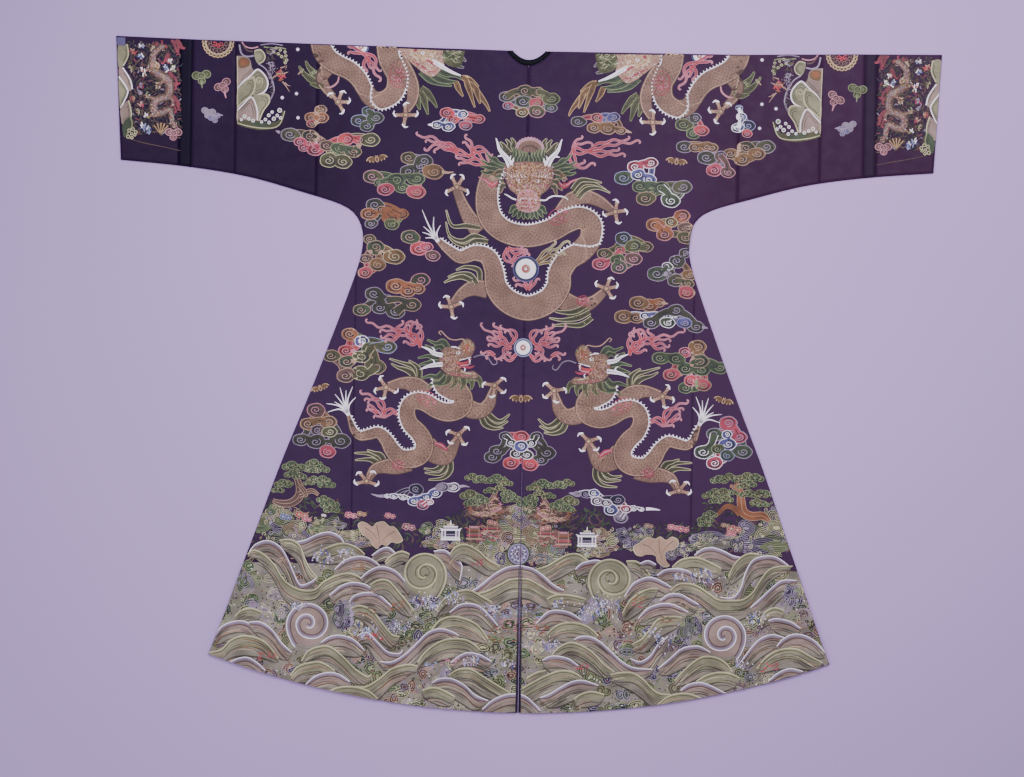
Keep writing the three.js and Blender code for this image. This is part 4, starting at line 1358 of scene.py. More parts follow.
for x, drop, r in [
    (418, 901, 12), (439, 895, 11), (460, 899, 10), (477, 894, 12), (494, 896, 12), (482, 909, 10),
    (469, 913, 9), (399, 934, 11), (410, 929, 12), (427, 927, 11), (433, 941, 10), (410, 946, 9),
    (478, 930, 11), (505, 930, 12), (516, 929, 10), (499, 947, 10), (512, 951, 9), (400, 974, 10),
    (390, 985, 11), (388, 995, 9), (448, 928, 8), (482, 926, 8)]:
    pineFan(sheet, x, drop, r, "olive" if int(x) % 2 else "green")
# Smooth rocks like leaves, and plants in flower.
for rim, spare in (("cream", 1.0), ("tan", 0.0)):
    for outline in ([(-344, 1010), (-335, 1003), (-323, 1007), (-314, 1013), (-306, 1005), (-291, 1002),
                     (-280, 1011), (-269, 1013), (-259, 1025), (-252, 1040), (-263, 1046), (-275, 1044),
                     (-284, 1051), (-296, 1049), (-303, 1058), (-313, 1051), (-320, 1039), (-335, 1028)],
                    [(240, 1046), (255, 1036), (269, 1025), (284, 1029), (295, 1024), (306, 1031),
                     (318, 1024), (331, 1030), (331, 1043), (321, 1051), (306, 1056), (308, 1073),
                     (315, 1083), (302, 1086), (289, 1075), (285, 1063), (268, 1061), (257, 1065),
                     (245, 1061)]):
        outline = np.array(outline, float)
        middle = outline.mean(axis=0)
        sheet.patch(rim, middle + (outline - middle) * (1 + 0.05 * spare) , 3)
for path in ([(-306, 1009), (-301, 1030), (-299, 1049)], [(-331, 1014), (-314, 1026), (-303, 1041)],
             [(-267, 1021), (-282, 1030), (-294, 1043)],
             [(293, 1029), (293, 1048), (300, 1073)], [(259, 1040), (276, 1048), (289, 1065)],
             [(323, 1032), (310, 1043), (300, 1058)]):
    sheet.band("brown", path, [1.6, 1.2, 0.6], 4)
for x, drop, r, fill, line in [
    (-465, 990, 11, "red", "tan"), (-454, 999, 8, "rose", "pink"),
    (-499, 995, 10, "blue", "paleBlue"), (-361, 989, 10, "rose", "pink"),
    (-338, 986, 8, "orange", "tan"), (-278, 989, 9, "rose", "pink"),
    (-238, 1012, 11, "brown", "pink"), (-418, 990, 4, "cream", "white"),
    (-433, 1007, 5, "ochre", "cream"), (-373, 1027, 6, "ochre", "cream")]:
    lowPlant(sheet, x, drop, r, (fill, line), int(x))
for x, drop, r, fill, line in [
    (322, 1003, 9, "rose", "pink"), (343, 1007, 10, "rose", "pink"), (451, 1005, 12, "rose", "tan"),
    (445, 1015, 8, "rose", "pink"), (271, 1001, 7, "brown", "tan"), (432, 997, 7, "brown", "tan")]:
    lowPlant(sheet, x, drop, r, (fill, line), int(x))
# A round jewel over the middle wave.
jewel = Pen(-5, 1065)
for colour, r in (("green", 25), ("lilac", 22), ("blue", 19.5), ("lilac", 18), ("mauve", 10)):
    jewel.disc(colour, 0, 0, r, corners=24)
jewel.mark("knots", "blue", [wedge(a, d) for a, d in [(30 * k + 15, 16) for k in range(12)] + [(45 * k,
    9) for k in range(8)]],
           0, 1.5)
jewel.mark("knots", "navy", [wedge(a, d) for a, d in [(30 * k, 12) for k in range(12)] + [(60 * k,
    3) for k in range(6)]],
           0, 1.1)
jewel.mark("knots", "white", [wedge(a, d) for a, d in [(30 * k, 14) for k in range(12)] + [(60 * k,
    6) for k in range(6)]],
           0, 1.3)
print("shore drawn")


# The sea along the hem: hills of water, drawn from the back to the front. Each row gives how the
# crest is worked, then its line as x, drop pairs. "rolled" is a lilac roll over brown water,
# "still" one cream line over olive water.
crests = {
    "rolled": {"edge": ("white", 1.5), "rolls": (("lilac", 2.0, 2.6), ("mauve", 4.6, 4.0),
                                                 ("brown", 8.2, 2.4),
                                                  ("waterDeep", 16.0, 1.6), ("waterDark", 24.0, 1.6)),
               "water": "waterBrown", "deep": "waterDeep"},
    "still": {"edge": ("cream", 2.5), "rolls": (("olive", 4.4, 1.4), ("waterDeep", 12.0, 1.6),
                                                ("waterDark", 22.0, 1.6)),
              "water": "water", "deep": "waterDeep"},
    "depth": 44,
}
hillTable = """
    rolled -487 1048  -458 1043  -430 1030  -405 1025  -384 1034  -375 1046;
    still -511 1044  -487 1042  -468 1054  -457 1081  -446 1102  -429 1123;
    still -436 1073  -404 1055  -373 1048  -345 1058  -330 1071;
    rolled -315 1073  -298 1060  -281 1055  -266 1066;
    still -287 1087  -273 1072  -252 1063  -235 1069;
    rolled -184 1062  -161 1059  -139 1076  -124 1091  -128 1123;
    still -150 1068  -139 1053  -118 1046  -91 1058  -69 1077  -43 1091;
    rolled -574 1069  -561 1053  -536 1045  -510 1057  -493 1082  -480 1111  -465 1137  -441 1130  -433 1123;
    rolled -393 1104  -372 1084  -341 1075  -315 1081  -298 1094;
    still -578 1075  -565 1066  -544 1074  -520 1097  -499 1129  -467 1147  -435 1147  -414 1129
    -382 1114  -357 1112  -329 1126  -308 1147;
    rolled -338 1122  -319 1105  -294 1096  -266 1104  -244 1125  -233 1143;
    spiral -202 1111  45 0 still 1;
    still -157 1165  -123 1152  -89 1147  -59 1157  -38 1172;
    rolled -106 1148  -81 1130  -56 1109  -28 1093  -2 1089;
    still -97 1152  -68 1143  -43 1130  -22 1119  -2 1116;
    rolled -403 1159  -382 1140  -357 1131  -329 1134  -308 1147;
    rolled -362 1173  -350 1158  -322 1151  -297 1157  -271 1180;
    still -318 1136  -301 1125  -280 1125  -259 1146  -237 1171  -224 1188;
    still -177 1187  -159 1161  -132 1146  -106 1143  -80 1156  -59 1168;
    rolled -148 1191  -131 1176  -110 1171  -84 1177  -58 1202  -46 1217;
    still -358 1186  -339 1179  -313 1189  -292 1214  -270 1239  -253 1243;
    rolled -342 1243  -321 1236  -299 1257  -278 1276  -254 1279  -246 1271;
    still -185 1227  -169 1208  -143 1199  -116 1203  -88 1217  -66 1245;
    still -603 1207  -589 1194  -568 1189  -546 1197;
    spiral -448 1221  45 0 rolled -1;
    rolled -647 1254  -631 1229  -603 1217  -576 1219  -554 1240;
    rolled -573 1219  -550 1217  -524 1233  -503 1260  -481 1281;
    rolled -294 1297  -269 1297  -242 1281  -215 1255  -194 1234  -168 1225  -143 1231  -128 1239;
    rolled -420 1259  -401 1246  -376 1243  -348 1253  -327 1274;
    still -214 1298  -199 1276  -172 1255  -143 1246  -109 1249  -83 1268;
    still -655 1284  -630 1277  -609 1256  -582 1247  -550 1253  -528 1269  -509 1294;
    still -460 1298  -447 1278  -426 1268  -401 1267  -375 1286  -347 1313  -321 1329  -313 1325;
    rolled -144 1297  -129 1284  -108 1275  -83 1279  -57 1293;
    rolled -614 1305  -596 1296  -574 1293  -553 1304  -536 1320;
    still -483 1330  -468 1311  -443 1302  -417 1301  -389 1318;
    still -399 1358  -368 1351  -325 1351  -294 1333  -269 1312  -235 1302  -214 1306;
    rolled -450 1348  -432 1331  -404 1322  -379 1326  -357 1341;
    still -148 1324  -129 1311  -103 1309  -78 1323  -43 1344  -18 1358;
    rolled -183 1340  -167 1331  -141 1331  -113 1345  -92 1364  -64 1376;
    still -401 1363  -383 1354  -353 1351  -319 1359  -297 1376;
    still -204 1357  -183 1350  -162 1354  -134 1369;
    rolled -76 1395  -56 1376  -28 1363  -3 1360;
    rolled 368 1061  384 1048  405 1044  427 1050  448 1060  465 1064;
    still 321 1087  338 1072  359 1066  380 1067  402 1076  425 1088;
    still 440 1105  453 1079  469 1062  486 1055  505 1057;
    still 33 1097  58 1088  79 1075  100 1064  122 1063  143 1076;
    rolled 116 1095  130 1082  156 1075  173 1077;
    still 224 1076  245 1076  262 1088  275 1105;
    rolled 253 1080  270 1074  287 1082;
    rolled 424 1149  450 1149  466 1130  476 1096  491 1070  512 1061  537 1061  559 1073  572 1085;
    spiral 190 1117  45 0 still -1;
    rolled 290 1105  304 1094  326 1090  351 1093  373 1106;
    rolled 221 1151  237 1125  254 1114  275 1109  301 1118  320 1130;
    still 318 1136  335 1123  356 1121  377 1127  399 1141  420 1154  445 1155  471 1153  492 1138
    508 1112  525 1090  546 1082  576 1081;
    rolled 488 1170  513 1146  534 1126  555 1111  585 1111;
    rolled 0 1089  25 1095  48 1109  70 1128  93 1140;
    still 1 1116  19 1118  42 1130  64 1143  85 1149;
    still 57 1160  72 1151  93 1149  119 1152  140 1158;
    still 217 1187  233 1159  254 1142  275 1133  292 1133;
    rolled 297 1158  314 1145  339 1144  361 1155  378 1165;
    rolled 251 1197  268 1177  289 1167  310 1164  331 1168  357 1182;
    still 510 1201  518 1180  539 1169  560 1175;
    rolled 527 1196  544 1192  573 1198  595 1212;
    rolled 35 1211  52 1192  68 1183  90 1183  111 1189  132 1203;
    still 239 1252  260 1239  277 1218  293 1198  319 1191  344 1193;
    spiral 434 1232  45 0 rolled 1;
    still 57 1234  73 1219  90 1210  116 1208  141 1214  158 1226  167 1236;
    rolled 236 1282  257 1288  278 1275  294 1251  315 1234;
    rolled 116 1244  129 1237  150 1237  171 1247  193 1266  219 1289  244 1301  283 1304;
    rolled 295 1302  320 1280  341 1261  362 1254  383 1254  405 1266;
    rolled 469 1286  490 1256  510 1235  536 1226  561 1232;
    rolled 545 1251  557 1236  578 1225  604 1227  629 1241  647 1262;
    still 70 1276  87 1259  108 1250  133 1256  159 1273  181 1296  202 1310;
    still 503 1299  520 1277  541 1262  566 1255  591 1257  617 1271  643 1284;
    rolled 49 1289  66 1280  87 1280  108 1286  126 1299;
    still 330 1327  350 1305  371 1286  392 1275  418 1277  439 1289  452 1306;
    still 16 1328  37 1315  58 1310;
    still 8 1349  33 1334  62 1319  88 1310  113 1312  134 1324;
    rolled 2 1360  19 1368  36 1383  47 1395;
    still 194 1317  215 1312  240 1312  262 1324  283 1345  300 1355  322 1357;
    still 376 1328  397 1315  423 1308  448 1310  469 1320;
    rolled 529 1324  550 1306  575 1297  601 1303;
    rolled 46 1368  67 1359  88 1346  113 1333  139 1330  169 1340;
    rolled 343 1348  359 1335  385 1330  410 1338  440 1353;
    still 296 1378  317 1361  343 1354  368 1356  392 1366;
    still 118 1369  135 1358  156 1353  182 1359
"""


def hill(pen, kind, path):
    worked, depth = crests[kind], crests["depth"]
    line = catmull(path, 5)
    coarse = along(line, every=7)[0]
    coarse = np.vstack([line[:1], coarse, line[-1:]])
    s = np.linspace(0, 1, len(coarse))
    # Its body thins out to both ends, but runs on where the seam cuts it.
    starts, ends = [0 if abs(line[i, 0]) < 12 else 1 for i in (0, -1)]
    fade = np.clip(np.minimum(np.where(s < 0.5, s * starts + 1 - starts, 1),
                              np.where(s > 0.5, (1 - s) * ends + 1 - ends, 1)) * 2, 0, 1)
    fade = np.sin(np.pi / 2 * fade) ** 0.6 * min(1, measure(line)[-1] / 90)
    under = [coarse + np.stack([0 * s, k * depth * fade], -1) for k in (0, 0.55, 0.94, 1.02)]
    pen.strip("waterDark", under[2], under[3])
    pen.strip(worked["deep"], under[1], under[2])
    pen.strip(worked["water"], under[0], under[1])
    s = np.linspace(0, 1, len(line))
    streaks = random.Random(int(line[0, 0] * 3 + line[0, 1]))
    for _ in range(int(measure(line)[-1] / 7)):
        i = streaks.randrange(3, len(line) - 3)
        low = streaks.uniform(0.2, 0.85) * depth * float(np.interp(s[i], np.linspace(0, 1, len(fade)), fade))
        part = line[max(0, i - streaks.randint(3, 7)):i + 4] + (0, low)
        pen.band(streaks.choices(("waterDark", "green", "tan", "orange", "brown", "cream"),
                                 (6, 3, 4, 1, 4, 2))[0], part,
                 taper([0.6, 1.5, 0.6], len(part)))
    for colour, lower, width in worked["rolls"][::-1]:
        drawn = np.interp(s, [0, 0.15, 0.85, 1], [0.2 if starts else 1, 1, 1, 0.2 if ends else 1])
        pen.band(colour, line + np.stack([0 * s, lower * drawn], -1), width * drawn)
    colour, width = worked["edge"]
    pen.band(colour, line, width)


def rolledCurl(pen, middle, r, kind, way):
    # A wave that has rolled up, its crest line winding in to the middle.
    worked = crests[kind]
    wind = catmull([(-62, 1.25), (-30, 1.06), (20, 1), (90, 0.99), (160, 0.97), (210, 0.87), (262, 0.68),
                    (320, 0.58),
                    (380, 0.55), (450, 0.48), (520, 0.34), (590, 0.22), (650, 0.12)], 7)
    angle = np.radians(wind[:, 0])
    line = np.stack([way * np.cos(angle), -np.sin(angle)], -1) * (r * wind[:, 1:]) + middle
    pen.disc("waterDeep", middle[0], middle[1] + 3, r + 4, corners=40)
    pen.disc(worked["water"], *middle, r, corners=40)
    inward = (np.array(middle) - line) / np.maximum(np.linalg.norm(np.array(middle) - line, axis=1), 1)[:,
        None]
    for colour, lower, width in worked["rolls"][2::-1]:
        pen.band(colour, line + inward * lower, width)
    pen.band(worked["edge"][0], line, worked["edge"][1])


def spray(pen, middle, size, fills=("lilac", "paleBlue", "mauve", "lilac", "blue"), seed=1):
    # Foam thrown up between the hills: short strokes side by side, with knots over them.
    rng = random.Random(seed)
    for _ in range(int(size / 1.5)):
        x = middle[0] + rng.uniform(-1, 1) * size
        y = middle[1] + rng.uniform(-0.6, 0.6) * size * math.sqrt(1 - min(1, abs(x - middle[0]) / size) ** 2)
        lean = rng.uniform(-5, 5)
        pen.band(rng.choice(fills), [(x - lean, y - 0.26 * size), (x, y),
                                     (x + lean * 0.4, y + 0.26 * size)], [1.4, 3.4, 1], 2)
    pen.mark("knots", "white", [(middle[0] + rng.gauss(0, size * 0.6), middle[1] + rng.gauss(0, size * 0.4))
                                for _ in range(int(size))], 0, 1.0)


seaTop, seaFoot, seaHalf = 1092, 1420, 690
across = np.linspace(-seaHalf, seaHalf, 120)
sheet.strip("waterDeep", np.stack([across, np.full(120, seaTop)], -1),
            np.stack([across, np.full(120, seaFoot)], -1))
# Nested contours of floss fill the water behind the hills, in the shades of rock, foam and shallows.
shoals = ((("navy", "green", "shade"), ("lilac", "paleGreen")),
          (("waterDark", "oliveDark", "olive"), ("water", "paleGreen")),
          (("brown", "waterBrown", "goldDark"), ("tan", "mauve")),
          (("mauve", "waterDeep", "green"), ("lilac", "cream")),
          (("olive", "waterDeep", "green"), ("cream", "paleGreen")))
rng = random.Random(21)
for x, drop in scatter([(-seaHalf, seaTop + 10), (seaHalf, seaTop + 10), (seaHalf, seaFoot - 8),
                        (-seaHalf, seaFoot - 8)],
                       31, rng):
    if abs(x) < sideX(drop) + 10:
        wave = math.sin(x / 95 + 2) + math.sin(drop / 48 + x / 160) + rng.gauss(0, 0.7)
        fills, lines = shoals[int((wave + 2) * 1.24) % 5]
        rockery(sheet, x, drop, rng.uniform(46, 62), rng.uniform(32, 42), fills, lines, rng.random(), 2, 2.3)
seaLevel = stack.copy()
for row in hillTable.split(";"):
    kind, *rest = row.split()
    if kind == "spiral":
        *numbers, style, way = rest
        rolledCurl(sheet, (float(numbers[0]), float(numbers[1])), 44.5, style, int(way))
    else:
        hill(sheet, kind, np.array(rest, float).reshape(-1, 2))
for k, (x, drop, size) in enumerate([
    (383, 1103, 23), (187, 1172, 25), (145, 1186, 23), (61, 1255, 19), (307, 1243, 19),
    (501, 1193, 19), (-415, 1079, 25), (-368, 1071, 17), (-138, 1161, 21), (-201, 1166, 25),
    (-327, 1232, 25), (-63, 1181, 19), (-186, 1174, 19), (170, 1160, 19), (-466, 1183, 19),
    (-104, 1292, 19), (281, 1226, 17), (473, 1291, 17), (85, 1170, 17), (-19, 1299, 17),
    (-257, 1224, 19), (339, 1108, 17)]):
    spray(sheet, (x, drop), size, seed=k)
for k, (x, drop, width) in enumerate([
    (357, 1220, 47), (572, 1141, 36), (-370, 1197, 42), (-581, 1134, 36)]):
    rockery(sheet, x, drop, width, width * 1.2, ("navy", "green", "shade"), ("lilac", "paleGreen", "mauve"),
            k + 40, 8)
# Lights of red, orange and yellow thread on the hills.
for k, (x, drop, size, colour) in enumerate([
    (-344, 1096, 17, "orange"), (-258, 1178, 17, "orange"), (-306, 1244, 15, "red"),
    (255, 1152, 15, "orange"), (248, 1169, 11, "rose"), (340, 1168, 15, "tan"),
    (-313, 1191, 13, "ochre"), (315, 1200, 15, "ochre"), (-35, 1236, 34, "orange"),
    (31, 1234, 34, "orange"), (-29, 1214, 30, "pink"), (22, 1213, 30, "pink"),
    (-25, 1189, 30, "paleBlue"), (18, 1188, 30, "paleBlue"), (-534, 1288, 19, "red"),
    (528, 1296, 19, "red"), (-146, 1293, 19, "pink"), (134, 1301, 13, "rose"),
    (-188, 1302, 13, "paleBlue"), (-497, 1086, 15, "tan"), (41, 1077, 13, "tan"),
    (382, 1150, 17, "waterBrown"), (-94, 1084, 13, "rose")]):
    rng = random.Random(k)
    for _ in range(int(size / 1.2)):
        a, b = x + rng.uniform(-1, 1) * size, drop + rng.uniform(-0.5, 0.5) * size
        sheet.band(colour, [(a - 3, b), (a + 3, b + rng.uniform(-2, 2))], [2, 3.6, 1.6])
# Knots of spray wherever no hill has covered the water.
sprayFloss = (("white", 5), ("shade", 24), ("paleBlue", 5), ("paleGreen", 12), ("cream", 9), ("rose", 2),
              ("lilac", 12), ("green", 12), ("tan", 6))
rng = random.Random(5)
openCells, spots = np.argwhere((stack == seaLevel) & (seaLevel > 0)), {}
for row, column in openCells:
    x = (column + 0.5) * layering["cell"] + layering["left"]
    drop = (row + 0.5) * layering["cell"] + layering["top"]
    if drop > seaTop:
        colour = rng.choices(*zip(*sprayFloss))[0]
        if rng.random() < 0.5:
            spots.setdefault(colour, []).append((x + rng.uniform(-3, 3), drop + rng.uniform(-3, 3)))
for colour, places in spots.items():
    sheet.mark("knots", colour, places, 0, 1.2)
# Loose curls of spray among the knots.
for x, drop in [places for name in ("shade", "lilac", "cream", "green") for places in spots.get(name,
    [])][::5]:
    sheet.curl(rng.choice(("cream", "lilac", "green", "shade", "paleGreen")), x, drop, rng.uniform(3, 5), 0.9,
               rng.uniform(0, 360), 1, 1.3)
# The vent gapes a little towards the hem; the dark floss along its edges is painted shadow.
for side in (-1, 1):
    sheet.band("shade", [(side * 3.2, 1090), (side * 3.4, 1200), (side * 3.8, 1300), (side * 4, 1400)],
               [0.8, 1.8, 3.4, 4])
print("sea drawn:", sum(map(len, spots.values())), "knots of spray")


# Clouds: one to a line, each lobe as x, drop, radius, floss and, where it differs, the rim's floss.
cloudTable = """
    -47 97 15 olive lilac, -43 116 11 rose lilac, -7 84 17 olive tan, 20 85 13 olive tan,
    -11 107 17 green lilac, 19 109 15 rose paleGreen, -13 130 13 ochre cream, 19 128 17 olive pink,
    50 100 17 olive paleGreen, 49 119 13 green lilac;
    -172 133 15 red pink, -159 148 11 red pink, -138 135 11 blue white, -104 145 13 red pink,
    -123 149 8 red pink, -193 159 11 blue white, -169 163 13 blue white, -131 160 13 rose lilac;
    106 147 15 oliveDark lilac, 146 138 13 rose tan, 166 142 8 blue lilac, 182 136 13 blue lilac,
    140 160 15 ochre tan, 170 161 17 ochre tan, 198 165 11 ochre tan;
    329 150 17 olive paleGreen, 354 135 13 oliveDark lilac, 351 169 15 green paleGreen,
    369 162 15 red pink;
    447 112 8 navy paleBlue, 452 131 11 blue white, 444 155 13 blue white, 467 150 15 navy paleBlue,
    465 167 11 red pink;
    332 197 17 oliveDark lilac, 355 198 13 ochre tan, 379 198 17 ochre tan, 391 198 13 ochre tan;
    463 197 19 oliveDark tan, 506 194 19 olive lilac, 487 209 17 ochre tan, 455 222 17 ochre tan,
    430 210 15 ochre tan;
    379 219 19 oliveDark lilac, 409 214 13 brown lilac, 396 246 17 rose pink, 426 250 15 brown pink,
    413 229 11 brown lilac;
    229 241 17 rose white, 262 232 15 rose white, 204 265 19 green paleBlue, 235 258 15 blue white,
    257 268 17 blue white;
    240 283 17 green paleGreen, 251 308 19 olive tan, 285 284 17 green paleGreen,
    266 295 13 green paleGreen, 331 282 19 olive lilac, 306 312 19 green white,
    317 294 13 green paleGreen;
    273 363 19 orange tan, 293 384 17 orange pink, 307 356 13 ochre cream, 330 343 17 orange pink,
    339 368 15 brown tan, 339 390 17 olive tan;
    206 392 17 oliveDark paleBlue, 255 410 15 olive tan, 229 408 17 olive paleGreen,
    200 417 11 rose paleGreen, 166 426 15 olive tan, 158 448 17 rose pink,
    194 439 15 green paleGreen, 230 436 17 brown pink, 198 455 17 green pink;
    338 421 13 oliveDark lilac, 321 439 17 oliveDark lilac, 300 450 11 green white,
    279 467 21 green lilac, 318 481 17 olive lilac, 349 468 15 ochre tan, 345 487 13 olive tan,
    343 506 17 rose tan;
    284 528 13 orange tan, 265 535 17 orange tan, 240 529 19 ochre tan;
    209 559 19 ochre tan, 236 561 15 ochre tan, 255 556 11 blue white, 268 571 17 oliveDark lilac,
    295 556 13 blue white, 321 543 17 oliveDark lilac, 304 570 15 green white, 340 570 15 blue lilac,
    364 578 17 oliveDark lilac;
    367 620 19 ochre tan, 341 631 13 rose pink, 288 645 17 green paleGreen,
    322 646 17 green paleGreen, 373 650 19 green tan, 342 667 17 green paleGreen,
    312 680 17 rose tan, 378 669 17 green paleGreen, 416 664 17 green paleGreen, 355 693 15 red pink,
    381 701 17 rose paleGreen, 343 708 15 green paleGreen;
    435 780 19 rose lilac, 406 804 17 green lilac, 459 810 17 rose lilac, 433 804 11 blue white,
    436 825 17 blue white, 383 843 19 green white, 413 836 13 olive paleGreen,
    434 850 15 green paleBlue, 468 841 19 green lilac, 407 866 17 rose white;
    -504 185 19 olive lilac, -461 187 17 oliveDark tan, -482 200 13 rose pink, -474 212 11 rose pink,
    -450 216 17 rose pink, -425 207 15 brown tan, -383 192 17 red pink, -355 193 13 red pink,
    -332 193 19 olive cream, -397 213 17 green paleGreen, -368 219 17 green tan,
    -420 239 19 olive cream, -390 241 19 olive cream;
    -339 132 13 green paleBlue, -358 153 17 oliveDark paleBlue, -322 146 17 green lilac,
    -341 165 15 green lilac;
    -439 131 13 ochre tan, -458 148 15 orange tan, -437 148 15 orange tan, -458 161 11 rose tan;
    -251 230 17 olive tan, -219 236 19 oliveDark lilac, -250 259 19 oliveDark lilac,
    -227 248 13 oliveDark lilac, -197 259 21 ochre tan;
    -328 271 19 olive pink, -313 284 11 green paleGreen, -277 277 19 green paleGreen,
    -233 274 17 green paleGreen, -300 298 17 rose pink, -264 294 15 green paleGreen,
    -233 302 19 rose tan;
    -321 331 19 oliveDark lilac, -306 341 11 orange tan, -334 350 17 orange tan,
    -264 349 15 orange ochre, -287 358 17 orange ochre, -329 371 13 oliveDark lilac,
    -284 372 15 olive paleGreen;
    -331 403 13 olive tan, -318 420 19 green tan, -277 440 21 ochre cream, -340 445 13 brown tan,
    -313 458 17 ochre tan, -340 475 15 rose tan;
    -221 488 19 oliveDark pink, -274 502 21 orange tan, -227 507 15 orange tan,
    -248 512 17 orange tan;
    -320 519 19 oliveDark lilac, -347 554 17 green tan, -292 532 15 oliveDark lilac,
    -307 549 17 oliveDark lilac, -273 557 19 oliveDark lilac, -239 541 19 oliveDark tan;
    -246 397 19 green tan, -226 422 19 red pink, -196 437 15 brown pink, -209 418 13 rose pink;
    -370 605 17 orange tan, -344 619 15 blue white, -325 634 17 olive paleGreen,
    -289 631 19 olive paleBlue, -377 641 17 red pink, -409 652 17 olive tan, -375 664 17 green tan,
    -343 653 17 olive cream, -313 674 21 olive tan, -377 694 19 brown tan, -345 689 19 olive cream;
    -439 767 19 brown pink, -455 797 17 ochre tan, -411 792 17 ochre tan, -434 810 15 brown lilac,
    -470 831 17 oliveDark lilac, -438 835 19 oliveDark lilac, -408 813 15 olive cream,
    -385 832 21 oliveDark lilac, -410 841 15 oliveDark lilac, -412 856 17 rose pink;
    -37 816 13 oliveDark lilac, 30 815 13 oliveDark lilac, -3 817 17 red pink,
    -24 830 11 oliveDark white, 18 830 11 oliveDark white, -54 848 17 oliveDark lilac,
    -64 861 17 oliveDark lilac, 52 850 19 oliveDark lilac, 40 865 15 oliveDark lilac,
    -3 836 15 blue white, -13 853 13 oliveDark white, 10 855 13 oliveDark white, -24 873 17 red pink,
    17 876 17 red pink;
    -285 947 6 mauve white, -271 947 8 blue white, -251 949 8 mauve white, -224 931 15 navy lilac,
    -228 957 13 blue white, -209 965 13 rose lilac, -201 948 11 blue white, -182 939 13 blue white,
    -194 958 8 rose white, -167 926 13 mauve lilac, -144 926 13 mauve white;
    117 936 8 mauve lilac, 136 936 11 navy lilac, 153 933 11 blue white, 160 950 13 mauve white,
    179 954 11 mauve white, 204 947 15 navy lilac, 190 969 15 blue white, 222 966 11 rose white,
    211 985 15 mauve lilac, 237 964 8 mauve white, 254 966 6 mauve white
"""
for line in cloudTable.split(";"):
    entries = [entry.split() for entry in line.split(",")]
    cloud([(float(x), float(drop), float(r), *names) for x, drop, r, *names in entries])
# Trailing ends of the longest clouds.
for path, line in (([(-292, 947), (-304, 947), (-319, 943)], "lilac"),
                   ([(-135, 925), (-123, 923), (-110, 925)], "lilac"),
                   ([(264, 965), (277, 965), (294, 967)], "white"), ([(111, 936), (100, 934)], "lilac"),
                   ([(-180, 258), (-168, 260), (-155, 258)], "tan"), ([(208, 165), (221, 169)], "tan"),
                   ([(291, 528), (304, 530)], "tan"),
                   ([(-201, 159), (-212, 159)], "white"), ([(376, 578), (389, 580)], "lilac"),
                   ([(-525, 181), (-534, 177)], "lilac")):
    sheet.band(line, path, [7, 5, 1], 4)
print("clouds drawn")


